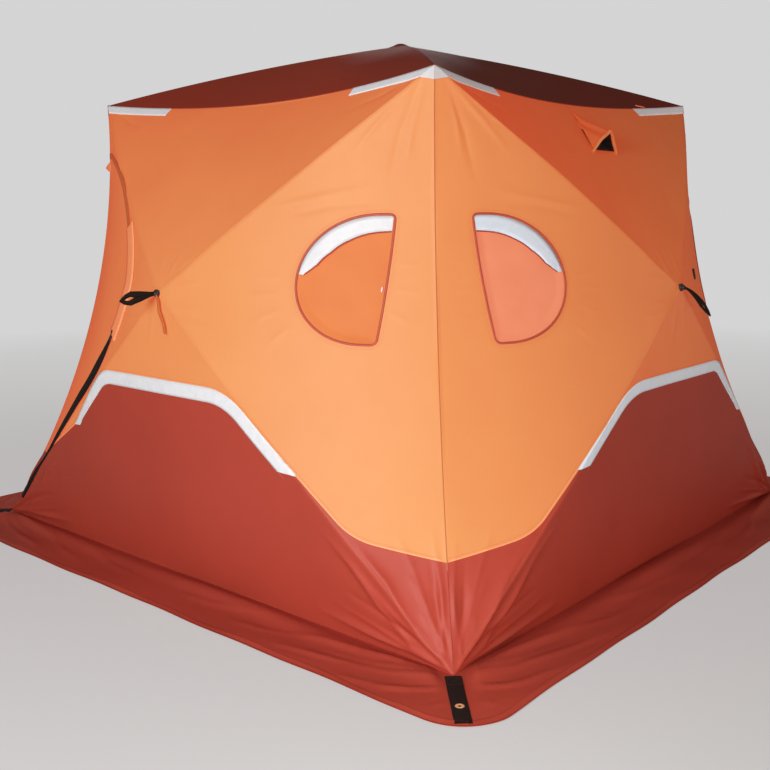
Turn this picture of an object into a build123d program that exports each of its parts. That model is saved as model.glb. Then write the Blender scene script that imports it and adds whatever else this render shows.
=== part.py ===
from build123d import *

import os

# Pop-up hub ice fishing shelter in millimetres: sewn gores stretched over a frame of hubs and bowed poles.
# The front faces -Y and stands for every wall: the others are the same wall turned about the middle.
os.makedirs("parts", exist_ok=True)

# Shelter envelope: each wall and the roof is four gores that meet at a hub pushed outward.
EAVE_HEIGHT = 1800
TOP_HALF = 895
BASE_HALF = 1265
HUB_HEIGHT = 1067
HUB_REACH = 1335
ROOF_HUB_HEIGHT = 2052
POLE_BOW = 20
SEAM_PULL = 145
EAVE_PULL_IN = 70
EAVE_SAG = 50

# Fabric
FABRIC = 3
SKIN_START_SHARE = 0.012
SKIN_OVERRUN_SHARE = 0.02

# Ground skirt
SKIRT_WIDTH = 260
SKIRT_TUCK = 70
SKIRT_ROUND = 170

# Lower wall band, in elevation
BAND_BELOW_HUB = 312
BAND_SHOULDER_X = 350
BAND_BEND_X = 884
BAND_BEND_Z = 342
BAND_EDGE_Z = 216
BAND_ROUND = 300

# Windows, in elevation
WINDOW_SIDE_X = 803
WINDOW_HEIGHT = 416
WINDOW_ABOVE_HUB = 63
WINDOW_FLAT = 43
WINDOW_BULGE = 235
WINDOW_ROUND = 16

# Door outline, as shares of the two poles that bound the left gore: upper pole, lower pole
DOOR_HEAD_SHARES = (0.829, 0.093)
DOOR_CROWN_SHARES = (0.492, 0.012)
DOOR_NOSE_SHARES = (0.187, 0.102)
DOOR_HEEL_SHARES = (0.079, 0.248)
DOOR_KNEE_SHARES = (0.040, 0.446)
DOOR_SILL_SHARES = (0.004, 0.890)
ZIP_WIDTH = 16
FLAP_REACH = 30
FLAP_THICK = 2
FLAP_ABOVE_HUB = 263
FLAP_BELOW_HUB = 172

# Frame
POLE_RADIUS = 5.5
POLE_START = 14
POLE_STOP = 12
HUB_RADIUS = 26
HUB_THICK = 22
HUB_ROUND = 4
HUB_SETBACK = 26
STUD_RADIUS = 11
CAP_RADIUS = 14
CAP_THICK = 6
CAP_ROUND = 3
CAP_GAP = 1
SLEEVE_RADIUS = 9
SLEEVE_REACH = 46
CORNER_BALL = 20
TOP_FITTING_INSET = 25
FOOT_INSET = 36
FOOT_FLAT = 3

# Vent hood, placed along the middle of its gore from the hub
VENT_PEAK_SHARE = 0.93
VENT_SILL_SHARE = 0.70
VENT_HALF = 97
VENT_NOSE_RISE = 49
VENT_STANDOFF = 68
VENT_BELLY_SHARE = 0.57
VENT_SINK = 10
VENT_HOLE_HALF = 60
VENT_HOLE_TALL = 70

# Webbing
WEBBING = 50
WEBBING_THICK = 3
PULL_WIDTH = 38
PULL_LENGTH = 150
PULL_DROOP = 28
PULL_LOOP = 40
PULL_NECK = 14
ANCHOR_LENGTH = 275
ANCHOR_GAP = 6
GROMMET_HOLE = 6
GROMMET_RIM = 12
GROMMET_BARREL = 7.5
GROMMET_THICK = 1.5
GROMMET_FROM_CORNER = 185

WALLS = ("front", "right", "back", "left")
DOOR_TURNS = (0, 2)
VENT_TURNS = (1, 3)
QUARTER_TURN = 90

OUTWARD = Vector(0, -1, 0)
UPWARD = Vector(0, 0, 1)
SIDEWAYS = Vector(1, 0, 0)
IN_FROM_RIGHT = Vector(-1, 1, 0).normalized()
IN_FROM_LEFT = Vector(1, 1, 0).normalized()

HUB = Vector(0, -HUB_REACH, HUB_HEIGHT)
ROOF_HUB = Vector(0, 0, ROOF_HUB_HEIGHT)
TOP_LEFT = Vector(-TOP_HALF, -TOP_HALF, EAVE_HEIGHT)
TOP_RIGHT = Vector(TOP_HALF, -TOP_HALF, EAVE_HEIGHT)
BASE_LEFT = Vector(-BASE_HALF, -BASE_HALF, 0)
BASE_RIGHT = Vector(BASE_HALF, -BASE_HALF, 0)

WALL_BOW = OUTWARD * POLE_BOW
ROOF_BOW = UPWARD * POLE_BOW
EAVE_PULL = Vector(0, EAVE_PULL_IN, -EAVE_SAG)
RIGHT_PULL = IN_FROM_RIGHT * SEAM_PULL
LEFT_PULL = IN_FROM_LEFT * SEAM_PULL

SKIRT_HALF = BASE_HALF + SKIRT_WIDTH
SKIRT_INNER_HALF = BASE_HALF - SKIRT_TUCK
DEPTH = 2 * HUB_REACH
LEFT_CORNER_PLANE = Plane(origin=(0, 0, 0), z_dir=(1, -1, 0))
RIGHT_CORNER_PLANE = Plane(origin=(0, 0, 0), z_dir=(-1, -1, 0))


TOP_SKIN = (HUB, TOP_LEFT, TOP_RIGHT, WALL_BOW, EAVE_PULL)
RIGHT_SKIN = (HUB, TOP_RIGHT, BASE_RIGHT, WALL_BOW, RIGHT_PULL)
BASE_SKIN = (HUB, BASE_RIGHT, BASE_LEFT, WALL_BOW, Vector())
LEFT_SKIN = (HUB, BASE_LEFT, TOP_LEFT, WALL_BOW, LEFT_PULL)
ROOF_SKIN = (ROOF_HUB, TOP_LEFT, TOP_RIGHT, ROOF_BOW, EAVE_PULL)


def on_skin(apex, start, end, bow, pull, u, v):
    """Point of a stretched gore: bowed along the poles, pulled in at the seam between them."""
    chord = (start - apex) * (1 - v) + (end - apex) * v
    return apex + chord * u + bow * (4 * u * (1 - u)) + pull * (4 * v * (1 - v) * u * u)


def bezier_middle(first, middle, last):
    """Middle control point of the parabola through three evenly spaced points."""
    return middle * 2 - (first + last) / 2


def skin(gore):
    """The outer face of a gore as a Bezier patch, run a little past its edges."""
    u_first, u_last = SKIN_START_SHARE, 1 + SKIN_OVERRUN_SHARE
    v_first, v_last = -SKIN_OVERRUN_SHARE, 1 + SKIN_OVERRUN_SHARE
    rows = []
    for v in (v_first, (v_first + v_last) / 2, v_last):
        near, far = on_skin(*gore, u_first, v), on_skin(*gore, u_last, v)
        halfway = on_skin(*gore, (u_first + u_last) / 2, v)
        rows.append([near, bezier_middle(near, halfway, far), far])
    crossing = [bezier_middle(rows[0][i], rows[1][i], rows[2][i]) for i in range(len(rows))]
    return Face.make_bezier_surface([rows[0], crossing, rows[2]])


def mitre(origin, along, inward, kept):
    """Plane through a pole or seam whose positive side holds the kept gore."""
    normal = along.cross(inward).normalized()
    side = 1 if normal.dot(kept - origin) > 0 else -1
    return Plane(origin=origin, x_dir=along, z_dir=normal * side)


def stretch(gore, seam_inward, grow=-FABRIC):
    """Fill the part being built with a gore, trimmed to the mitre planes that it shares with its neighbours."""
    apex, start, end, bow, _ = gore
    thicken(skin(gore), amount=grow)
    split(bisect_by=mitre(apex, start - apex, bow, end), keep=Keep.TOP)
    split(bisect_by=mitre(apex, end - apex, bow, start), keep=Keep.TOP)
    split(bisect_by=mitre(start, end - start, seam_inward, apex), keep=Keep.TOP)
    split(bisect_by=Plane.XY.offset(FABRIC), keep=Keep.TOP)
    split(bisect_by=LEFT_CORNER_PLANE, keep=Keep.TOP)
    split(bisect_by=RIGHT_CORNER_PLANE, keep=Keep.TOP)


def cut_away(*cutters):
    """Take the cutters out of the part being built."""
    for cutter in cutters:
        add(cutter.part, mode=Mode.SUBTRACT)


def all_round(blank, turns=range(len(WALLS))):
    """Add a front wall piece to the part being built once for each of the named walls."""
    for turn in turns:
        add(blank.part, rotation=(0, 0, QUARTER_TURN * turn))


# Whole gores of one wall and of the roof.
with BuildPart() as top_gore:
    stretch(TOP_SKIN, EAVE_PULL)

with BuildPart() as right_gore:
    stretch(RIGHT_SKIN, IN_FROM_RIGHT)

with BuildPart() as base_gore:
    stretch(BASE_SKIN, -OUTWARD)

with BuildPart() as left_gore:
    stretch(LEFT_SKIN, IN_FROM_LEFT)

with BuildPart() as left_cover:
    stretch(LEFT_SKIN, IN_FROM_LEFT, grow=FLAP_THICK)

with BuildPart() as eave_gore:
    stretch(ROOF_SKIN, EAVE_PULL)

# Cutters drawn in the front elevation and pushed through the wall.
BAND_TOP = HUB_HEIGHT - BAND_BELOW_HUB
FLAP_TALL = FLAP_ABOVE_HUB + FLAP_BELOW_HUB


def door_point(shares):
    """Point of the door outline in elevation."""
    upper, lower = shares
    at = HUB + (TOP_LEFT - HUB) * upper + (BASE_LEFT - HUB) * lower
    return (at.X, at.Z)


DOOR_HEAD = door_point(DOOR_HEAD_SHARES)
DOOR_NOSE = door_point(DOOR_NOSE_SHARES)
DOOR_KNEE = door_point(DOOR_KNEE_SHARES)
DOOR_SILL = door_point(DOOR_SILL_SHARES)

with BuildPart() as band_cutter:
    with BuildSketch(Plane.XZ):
        with BuildLine():
            FilletPolyline(
                (-SKIRT_HALF, BAND_EDGE_Z),
                (-BAND_BEND_X, BAND_BEND_Z),
                (-BAND_SHOULDER_X, BAND_TOP),
                (BAND_SHOULDER_X, BAND_TOP),
                (BAND_BEND_X, BAND_BEND_Z),
                (SKIRT_HALF, BAND_EDGE_Z),
                radius=BAND_ROUND,
            )
            Polyline((SKIRT_HALF, BAND_EDGE_Z), (SKIRT_HALF, 0), (-SKIRT_HALF, 0), (-SKIRT_HALF, BAND_EDGE_Z))
        make_face()
    extrude(amount=DEPTH)

with BuildPart() as right_window_cutter:
    with BuildSketch(Plane.XZ) as window_outline:
        with Locations((WINDOW_SIDE_X - WINDOW_FLAT, HUB_HEIGHT + WINDOW_ABOVE_HUB)):
            Ellipse(WINDOW_BULGE, WINDOW_HEIGHT / 2)
            Rectangle(WINDOW_BULGE, WINDOW_HEIGHT, align=(Align.MIN, Align.CENTER), mode=Mode.SUBTRACT)
            Rectangle(WINDOW_FLAT, WINDOW_HEIGHT, align=(Align.MIN, Align.CENTER))
        fillet(window_outline.vertices().group_by(Axis.X)[-1], WINDOW_ROUND)
    extrude(amount=DEPTH)

with BuildPart() as left_window_cutter:
    with BuildSketch(Plane.XZ):
        mirror(window_outline.sketch_local, about=Plane.YZ)
    extrude(amount=DEPTH)

with BuildPart() as door_cutter:
    with BuildSketch(Plane.XZ) as door_outline:
        with BuildLine():
            ThreePointArc(DOOR_HEAD, door_point(DOOR_CROWN_SHARES), DOOR_NOSE)
            ThreePointArc(DOOR_NOSE, door_point(DOOR_HEEL_SHARES), DOOR_KNEE)
            Line(DOOR_KNEE, DOOR_SILL)
            Polyline(DOOR_SILL, (-SKIRT_HALF, DOOR_SILL[1]), (-SKIRT_HALF, DOOR_HEAD[1]), DOOR_HEAD)
        make_face()
    extrude(amount=DEPTH)

with BuildPart() as zip_cutter:
    with BuildSketch(Plane.XZ):
        add(door_outline.sketch_local)
        offset(amount=ZIP_WIDTH)
        add(door_outline.sketch_local, mode=Mode.SUBTRACT)
    extrude(amount=DEPTH)

with BuildPart() as flap_cutter:
    with BuildSketch(Plane.XZ):
        add(door_outline.sketch_local)
        offset(amount=ZIP_WIDTH + FLAP_REACH)
        add(door_outline.sketch_local, mode=Mode.SUBTRACT)
        with Locations((0, HUB_HEIGHT - FLAP_BELOW_HUB)):
            Rectangle(SKIRT_HALF * 2, FLAP_TALL, align=(Align.CENTER, Align.MIN), mode=Mode.INTERSECT)
    extrude(amount=DEPTH)

with BuildPart() as stud_hole:
    with BuildSketch(Plane.XZ):
        with Locations((0, HUB_HEIGHT)):
            Circle(STUD_RADIUS)
    extrude(amount=DEPTH)

with BuildPart() as roof_stud_hole:
    with BuildSketch():
        Circle(STUD_RADIUS)
    extrude(amount=DEPTH)

VENT_SILL = on_skin(*TOP_SKIN, VENT_SILL_SHARE, 1 / 2)
VENT_PEAK = on_skin(*TOP_SKIN, VENT_PEAK_SHARE, 1 / 2)
with BuildPart() as vent_hole:
    with BuildSketch(Plane.XZ):
        with Locations((0, VENT_SILL.Z)):
            Rectangle(VENT_HOLE_HALF * 2, VENT_HOLE_TALL, align=(Align.CENTER, Align.MIN))
    extrude(amount=DEPTH)

# Finished panels of one wall.
with BuildPart() as plain_top:
    add(top_gore.part)
    cut_away(stud_hole)

with BuildPart() as vented_top:
    add(top_gore.part)
    cut_away(stud_hole, vent_hole)

with BuildPart() as window_right:
    add(right_gore.part)
    cut_away(stud_hole, band_cutter, right_window_cutter)

with BuildPart() as window_left:
    add(left_gore.part)
    cut_away(stud_hole, band_cutter, left_window_cutter)

with BuildPart() as door_jamb:
    add(left_gore.part)
    cut_away(stud_hole, band_cutter, door_cutter, zip_cutter)

with BuildPart() as centre:
    add(base_gore.part)
    cut_away(stud_hole, band_cutter)

with BuildPart() as roof_gore:
    add(eave_gore.part)
    cut_away(roof_stud_hole)

with BuildPart() as door:
    add(left_gore.part)
    add(door_cutter.part, mode=Mode.INTERSECT)

with BuildPart() as door_zip:
    add(left_gore.part)
    add(zip_cutter.part, mode=Mode.INTERSECT)

with BuildPart() as door_flap:
    add(left_cover.part)
    add(flap_cutter.part, mode=Mode.INTERSECT)

with BuildPart() as right_pane:
    add(right_gore.part)
    add(right_window_cutter.part, mode=Mode.INTERSECT)

with BuildPart() as left_pane:
    add(left_gore.part)
    add(left_window_cutter.part, mode=Mode.INTERSECT)

with BuildPart() as pane_pair:
    add(right_pane.part)
    add(left_pane.part)

with BuildPart() as left_band:
    add(left_gore.part)
    add(band_cutter.part, mode=Mode.INTERSECT)

with BuildPart() as base_band:
    add(base_gore.part)
    add(right_gore.part)
    add(band_cutter.part, mode=Mode.INTERSECT)

with BuildPart() as window_band:
    add(left_band.part)
    add(base_band.part)

with BuildPart() as door_band:
    add(left_band.part)
    cut_away(door_cutter, zip_cutter)
    add(base_band.part)

# Vent hood: a pointed arch at the mouth drawn back to a peak, sewn to the wall all along its sides.
VENT_RISE = (VENT_PEAK - VENT_SILL).normalized()
VENT_OUT = SIDEWAYS.cross(VENT_RISE)
VENT_ROOT = VENT_SILL - VENT_OUT * VENT_SINK
VENT_LEAN = VENT_RISE * VENT_NOSE_RISE + VENT_OUT * (VENT_STANDOFF + VENT_SINK)
VENT_ARCH = VENT_LEAN.length

with BuildPart() as behind_top:
    thicken(skin(TOP_SKIN), amount=-VENT_STANDOFF)

with BuildPart() as vent_hood:
    with BuildSketch(Plane(origin=VENT_ROOT, x_dir=SIDEWAYS, z_dir=SIDEWAYS.cross(VENT_LEAN))) as vent_mouth:
        for inset, mode in ((0, Mode.ADD), (FABRIC, Mode.SUBTRACT)):
            foot, crown = VENT_HALF - inset, VENT_ARCH - inset
            belly_x, belly_z = foot * VENT_BELLY_SHARE, crown * VENT_BELLY_SHARE
            with BuildLine():
                ThreePointArc((-foot, 0), (-belly_x, belly_z), (0, crown))
                ThreePointArc((0, crown), (belly_x, belly_z), (foot, 0))
                Line((foot, 0), (-foot, 0))
            make_face(mode=mode)
    loft(sections=[vent_mouth.sketch.face(), Vertex(VENT_PEAK - VENT_OUT * VENT_SINK)])
    cut_away(behind_top)

# Frame: bowed poles seated in the sleeves of hubs and corner fittings.
HUB_PLANE = Plane(origin=HUB, x_dir=SIDEWAYS, z_dir=OUTWARD)
ROOF_HUB_PLANE = Plane(origin=ROOF_HUB, x_dir=SIDEWAYS, z_dir=UPWARD)
HUB_CENTRE = HUB - OUTWARD * (HUB_SETBACK + HUB_THICK / 2)
ROOF_HUB_CENTRE = ROOF_HUB - UPWARD * (HUB_SETBACK + HUB_THICK / 2)
TOP_FITTING = TOP_RIGHT + Vector(-TOP_FITTING_INSET, TOP_FITTING_INSET, -TOP_FITTING_INSET)
FOOT_CENTRE_Z = FABRIC + CORNER_BALL - FOOT_FLAT
FOOT_FITTING = BASE_RIGHT + Vector(-FOOT_INSET, FOOT_INSET, FOOT_CENTRE_Z)


def pole_line(hub_centre, fitting, bow):
    """Centre line of a pole, bowed outward from its hub sleeve to its corner sleeve."""
    toward = (fitting - hub_centre).normalized()
    start = hub_centre + toward * POLE_START
    stop = fitting - toward * POLE_STOP
    return Bezier(start, (start + stop) / 2 + bow * 2, stop)


def pole(line):
    """Fibreglass rod along its centre line."""
    with BuildPart() as rod:
        with BuildSketch(Plane(origin=line @ 0, z_dir=line % 0)):
            Circle(POLE_RADIUS)
        sweep(path=line)
    return rod.part


def sleeve(end, away):
    """Moulded sleeve that a pole's end seats in."""
    with BuildPart() as tube:
        with BuildSketch(Plane(origin=end, z_dir=away)):
            Circle(SLEEVE_RADIUS)
        extrude(amount=SLEEVE_REACH)
    return tube.part


def hub_body(hub_plane):
    """Round hub with a stud through the fabric and a cap outside."""
    axis = Axis(hub_plane.origin, hub_plane.z_dir)
    with BuildPart() as body:
        with BuildSketch(hub_plane.offset(-HUB_SETBACK - HUB_THICK)):
            Circle(HUB_RADIUS)
        extrude(amount=HUB_THICK)
        fillet(body.faces().sort_by(axis)[0].edges(), HUB_ROUND)
        with BuildSketch(hub_plane.offset(-HUB_SETBACK)):
            Circle(STUD_RADIUS)
        extrude(amount=HUB_SETBACK + CAP_GAP)
        with BuildSketch(hub_plane.offset(CAP_GAP)):
            Circle(CAP_RADIUS)
        extrude(amount=CAP_THICK)
        fillet(body.faces().sort_by(axis)[-1].edges(), CAP_ROUND)
    return body.part


top_line = pole_line(HUB_CENTRE, TOP_FITTING, WALL_BOW)
foot_line = pole_line(HUB_CENTRE, FOOT_FITTING, WALL_BOW)
roof_line = pole_line(ROOF_HUB_CENTRE, TOP_FITTING, ROOF_BOW)

with BuildPart() as wall_pole_set:
    for line in (top_line, foot_line):
        upright = pole(line)
        add(upright)
        mirror(upright, about=Plane.YZ)

with BuildPart() as wall_poles:
    all_round(wall_pole_set)

with BuildPart() as roof_pole:
    add(pole(roof_line))

with BuildPart() as roof_poles:
    all_round(roof_pole)

with BuildPart() as wall_hub:
    add(hub_body(HUB_PLANE))
    for line in (top_line, foot_line):
        hub_sleeve = sleeve(line @ 0, line % 0)
        add(hub_sleeve)
        mirror(hub_sleeve, about=Plane.YZ)
    cut_away(wall_pole_set)

with BuildPart() as wall_hubs:
    all_round(wall_hub)

with BuildPart() as roof_sleeve:
    add(sleeve(roof_line @ 0, roof_line % 0))

with BuildPart() as roof_hub:
    add(hub_body(ROOF_HUB_PLANE))
    all_round(roof_sleeve)
    cut_away(roof_poles)

with BuildPart() as top_fitting:
    with Locations(TOP_FITTING):
        Sphere(CORNER_BALL)
    add(sleeve(roof_line @ 1, -(roof_line % 1)))
    wall_sleeve = sleeve(top_line @ 1, -(top_line % 1))
    add(wall_sleeve)
    mirror(wall_sleeve, about=RIGHT_CORNER_PLANE)
    cut_away(wall_poles, roof_poles)

with BuildPart() as top_fittings:
    all_round(top_fitting)

with BuildPart() as foot_fitting:
    with Locations(FOOT_FITTING):
        Sphere(CORNER_BALL)
    foot_sleeve = sleeve(foot_line @ 1, -(foot_line % 1))
    add(foot_sleeve)
    mirror(foot_sleeve, about=RIGHT_CORNER_PLANE)
    split(bisect_by=Plane.XY.offset(FABRIC), keep=Keep.TOP)
    cut_away(wall_poles)

with BuildPart() as foot_fittings:
    all_round(foot_fitting)

# Ground skirt, anchor straps and grommets.
GROMMET_AT = BASE_RIGHT - IN_FROM_RIGHT * GROMMET_FROM_CORNER
with BuildPart() as skirt:
    with BuildSketch():
        RectangleRounded(SKIRT_HALF * 2, SKIRT_HALF * 2, SKIRT_ROUND)
        Rectangle(SKIRT_INNER_HALF * 2, SKIRT_INNER_HALF * 2, mode=Mode.SUBTRACT)
        for side in (-1, 1):
            with Locations((GROMMET_AT.X * side, GROMMET_AT.Y)):
                Circle(GROMMET_BARREL, mode=Mode.SUBTRACT)
    extrude(amount=FABRIC)
    split(bisect_by=LEFT_CORNER_PLANE, keep=Keep.TOP)
    split(bisect_by=RIGHT_CORNER_PLANE, keep=Keep.TOP)

with BuildPart() as anchor_strap:
    with BuildSketch(Plane(origin=BASE_RIGHT + UPWARD * FABRIC, x_dir=-IN_FROM_RIGHT)):
        with Locations((ANCHOR_GAP, 0)):
            Rectangle(ANCHOR_LENGTH, WEBBING, align=(Align.MIN, Align.CENTER))
        with Locations((GROMMET_FROM_CORNER, 0)):
            Circle(GROMMET_BARREL, mode=Mode.SUBTRACT)
    extrude(amount=WEBBING_THICK)

with BuildPart() as anchor_straps:
    all_round(anchor_strap)

with BuildPart() as grommet:
    with BuildSketch(Plane(origin=GROMMET_AT)):
        Circle(GROMMET_BARREL)
        Circle(GROMMET_HOLE, mode=Mode.SUBTRACT)
    extrude(amount=FABRIC + WEBBING_THICK)
    with BuildSketch(Plane(origin=GROMMET_AT + UPWARD * (FABRIC + WEBBING_THICK))):
        Circle(GROMMET_RIM)
        Circle(GROMMET_HOLE, mode=Mode.SUBTRACT)
    extrude(amount=GROMMET_THICK)

with BuildPart() as grommets:
    all_round(grommet)

# Pull straps: webbing loops sewn to the hub caps.
CAP_FACE = HUB_REACH + CAP_GAP + CAP_THICK
with BuildPart() as pull_strap:
    with BuildSketch(Plane.YZ):
        with Locations((-CAP_FACE, HUB_HEIGHT)):
            Circle(PULL_NECK / 2)
        with Locations((-CAP_FACE - PULL_LENGTH + PULL_LOOP / 2, HUB_HEIGHT - PULL_DROOP)):
            Circle(PULL_LOOP / 2)
        make_hull()
        offset(amount=-WEBBING_THICK, mode=Mode.SUBTRACT)
    extrude(amount=PULL_WIDTH / 2, both=True)
    split(bisect_by=Plane(origin=(0, -CAP_FACE, 0), z_dir=OUTWARD), keep=Keep.TOP)

with BuildPart() as pull_straps:
    all_round(pull_strap)

with BuildPart() as vent_hoods:
    all_round(vent_hood, VENT_TURNS)

with BuildPart() as door_zips:
    all_round(door_zip, DOOR_TURNS)

with BuildPart() as door_flaps:
    all_round(door_flap, DOOR_TURNS)

# Every wall, turned to its side of the shelter.
COMMON_PANELS = {
    "{}_wall_right": window_right,
    "{}_wall_centre": centre,
    "{}_skirt": skirt,
    "roof_{}_gore": roof_gore,
}
DOOR_WALL_PANELS = {
    "{}_wall_top": plain_top,
    "{}_wall_left": door_jamb,
    "{}_wall_band": door_band,
    "{}_windows": right_pane,
    "{}_door": door,
}
WINDOW_WALL_PANELS = {
    "{}_wall_top": vented_top,
    "{}_wall_left": window_left,
    "{}_wall_band": window_band,
    "{}_windows": pane_pair,
}

for turn, wall in enumerate(WALLS):
    panels = COMMON_PANELS | (DOOR_WALL_PANELS if turn in DOOR_TURNS else WINDOW_WALL_PANELS)
    for name, blank in panels.items():
        with BuildPart() as panel:
            all_round(blank, (turn,))
        panel.part.label = name.format(wall)
        export_step(panel.part, f"parts/{panel.part.label}.step")

for name, piece in (
    ("door_zips", door_zips),
    ("door_flaps", door_flaps),
    ("vent_hoods", vent_hoods),
    ("wall_poles", wall_poles),
    ("roof_poles", roof_poles),
    ("wall_hubs", wall_hubs),
    ("roof_hub", roof_hub),
    ("top_fittings", top_fittings),
    ("foot_fittings", foot_fittings),
    ("anchor_straps", anchor_straps),
    ("grommets", grommets),
    ("pull_straps", pull_straps),
):
    piece.part.label = name
    export_step(piece.part, f"parts/{name}.step")
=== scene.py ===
import math

import bpy
import numpy as np
from mathutils import Matrix


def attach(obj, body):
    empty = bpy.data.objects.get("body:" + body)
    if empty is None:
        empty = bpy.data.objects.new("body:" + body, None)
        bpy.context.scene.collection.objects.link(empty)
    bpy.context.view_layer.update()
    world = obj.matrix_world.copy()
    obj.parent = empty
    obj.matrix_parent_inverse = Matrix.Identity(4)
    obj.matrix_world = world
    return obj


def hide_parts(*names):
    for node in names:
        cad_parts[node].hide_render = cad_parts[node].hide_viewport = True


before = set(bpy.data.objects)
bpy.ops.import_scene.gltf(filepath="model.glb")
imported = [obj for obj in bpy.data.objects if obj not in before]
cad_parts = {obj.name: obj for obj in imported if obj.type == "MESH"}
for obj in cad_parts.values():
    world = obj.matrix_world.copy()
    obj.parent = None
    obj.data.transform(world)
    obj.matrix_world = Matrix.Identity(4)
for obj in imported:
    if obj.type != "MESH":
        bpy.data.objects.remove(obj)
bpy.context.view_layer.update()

# Shelter envelope in metres, as in the solids. The front wall faces -Y; the others are it turned about Z.
BASE_HALF = 1.265
TOP_HALF, TOP_HEIGHT = 0.895, 1.8
HUB = np.array((0.0, -1.335, 1.067))
ROOF_HUB = np.array((0.0, 0.0, 2.052))
TOP_LEFT = np.array((-TOP_HALF, -TOP_HALF, TOP_HEIGHT))
TOP_RIGHT = np.array((TOP_HALF, -TOP_HALF, TOP_HEIGHT))
BASE_LEFT = np.array((-BASE_HALF, -BASE_HALF, 0.0))
BASE_RIGHT = np.array((BASE_HALF, -BASE_HALF, 0.0))
CORNERS = (TOP_LEFT, TOP_RIGHT, BASE_RIGHT, BASE_LEFT)
UP = np.array((0.0, 0.0, 1.0))
ACROSS = np.array((1.0, 0.0, 0.0))
RIGHT_OUT = np.array((1.0, -1.0, 0.0)) / math.sqrt(2)
LEFT_OUT = np.array((-1.0, -1.0, 0.0)) / math.sqrt(2)
CORNER_PULL = 0.145
WALL_BOW = np.array((0.0, -0.02, 0.0))
ROOF_BOW = np.array((0.0, 0.0, 0.02))
EAVE_PULL = np.array((0.0, 0.07, -0.05))
NO_PULL = np.zeros(3)
SKIRT_WIDTH, SKIRT_ROUND, SKIRT_TUCK = 0.26, 0.17, 0.03

GORES = {
    "top": (HUB, TOP_LEFT, TOP_RIGHT, WALL_BOW, EAVE_PULL),
    "right": (HUB, TOP_RIGHT, BASE_RIGHT, WALL_BOW, -RIGHT_OUT * CORNER_PULL),
    "base": (HUB, BASE_RIGHT, BASE_LEFT, WALL_BOW, NO_PULL),
    "left": (HUB, BASE_LEFT, TOP_LEFT, WALL_BOW, -LEFT_OUT * CORNER_PULL),
}
ROOF_GORE = (ROOF_HUB, TOP_LEFT, TOP_RIGHT, ROOF_BOW, EAVE_PULL)
WALLS = ("front", "right", "back", "left")
FINE_ROWS, PLAIN_ROWS, ROOF_ROWS = 210, 120, 110
HELD_SHARE = 0.012
TINY, STRAYED = 1e-6, 0.03
NEWTON_STEPS = 12

# Window, door and lower band outlines in the wall's own elevation.
WINDOW_X, WINDOW_Z = 0.760, 1.130
WINDOW_BULGE, WINDOW_HALF, WINDOW_SIDE, WINDOW_ROUND = 0.235, 0.208, 0.803, 0.016
BAND_NEAR = ((0.350, 0.755), (0.884, 0.342), (1.525, 0.216))
BAND_DOOR = ((0.385, 0.755), (0.604, 0.510), (0.884, 0.342), (1.525, 0.216))
BAND_FAR = ((0.375, 0.755), (0.655, 0.510), (0.884, 0.342), (1.525, 0.216))
BAND_NEAR_ROUND, BAND_FAR_ROUND = 0.30, 0.13
DOOR_ARCS = (
    ((-0.860, 1.575), (-0.455, 1.415), (-0.297, 1.095)),
    ((-0.297, 1.095), (-0.385, 0.860), (-0.600, 0.620)),
)
DOOR_SILL = (-1.130, 0.120)
ZIP_WIDTH = 0.016
LINE_STEP = 0.008


# Outlines


def smooth(low, high, value):
    t = np.clip((value - low) / (high - low), 0, 1)
    return t * t * (3 - 2 * t)


def unit(vectors):
    return vectors / np.maximum(np.linalg.norm(vectors, axis=-1, keepdims=True), TINY**2)


def run_of(points):
    """Length along a polyline up to each of its points."""
    return np.concatenate(([0], np.cumsum(np.linalg.norm(np.diff(points, axis=0), axis=1))))


def filleted(corners, radii, steps=14):
    """Open polyline with each inner corner rounded to its radius."""
    corners = np.array(corners, float)
    points = [corners[0]]
    for before, at, after, radius in zip(corners, corners[1:], corners[2:], radii):
        one, two = unit(before - at), unit(after - at)
        half = math.acos(np.clip(one @ two, -1, 1)) / 2
        reach = radius / math.tan(half)
        middle = at + unit(one + two) * radius / math.sin(half)
        start, end = at + one * reach - middle, at + two * reach - middle
        turn = math.atan2(start[0] * end[1] - start[1] * end[0], start @ end)
        for k in range(steps + 1):
            c, s = math.cos(turn * k / steps), math.sin(turn * k / steps)
            points.append(middle + (c * start[0] - s * start[1], s * start[0] + c * start[1]))
    points.append(corners[-1])
    return np.array(points)


def arc(first, middle, last, steps=40):
    """Points of the circle arc through three points."""
    (ax, ay), (bx, by), (cx, cy) = first, middle, last
    d = 2 * (ax * (by - cy) + bx * (cy - ay) + cx * (ay - by))
    a2, b2, c2 = ax * ax + ay * ay, bx * bx + by * by, cx * cx + cy * cy
    ox = (a2 * (by - cy) + b2 * (cy - ay) + c2 * (ay - by)) / d
    oy = (a2 * (cx - bx) + b2 * (ax - cx) + c2 * (bx - ax)) / d
    start, end = math.atan2(ay - oy, ax - ox), math.atan2(cy - oy, cx - ox)
    turn = (end - start + math.pi) % (2 * math.pi) - math.pi
    angles = start + turn * np.linspace(0, 1, steps + 1)
    return (ox, oy) + math.hypot(ax - ox, ay - oy) * np.stack((np.cos(angles), np.sin(angles)), 1)


def along(points, spacing=LINE_STEP):
    """The polyline at an even spacing."""
    points = np.array(points, float)
    run = run_of(points)
    count = max(int(round(run[-1] / spacing)), 1)
    at = np.linspace(0, run[-1], count + 1)
    return np.stack([np.interp(at, run, points[:, k]) for k in range(points.shape[1])], 1)


def leftward(line):
    """Unit directions to the left of a flat line, and along it."""
    tangent = unit(np.gradient(line, axis=0))
    return np.stack((-tangent[:, 1], tangent[:, 0]), 1), tangent


def sideways(line, reach):
    """The line moved to its left by a reach."""
    line = np.array(line, float)
    return line + leftward(line)[0] * np.reshape(reach, (-1, 1))


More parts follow.
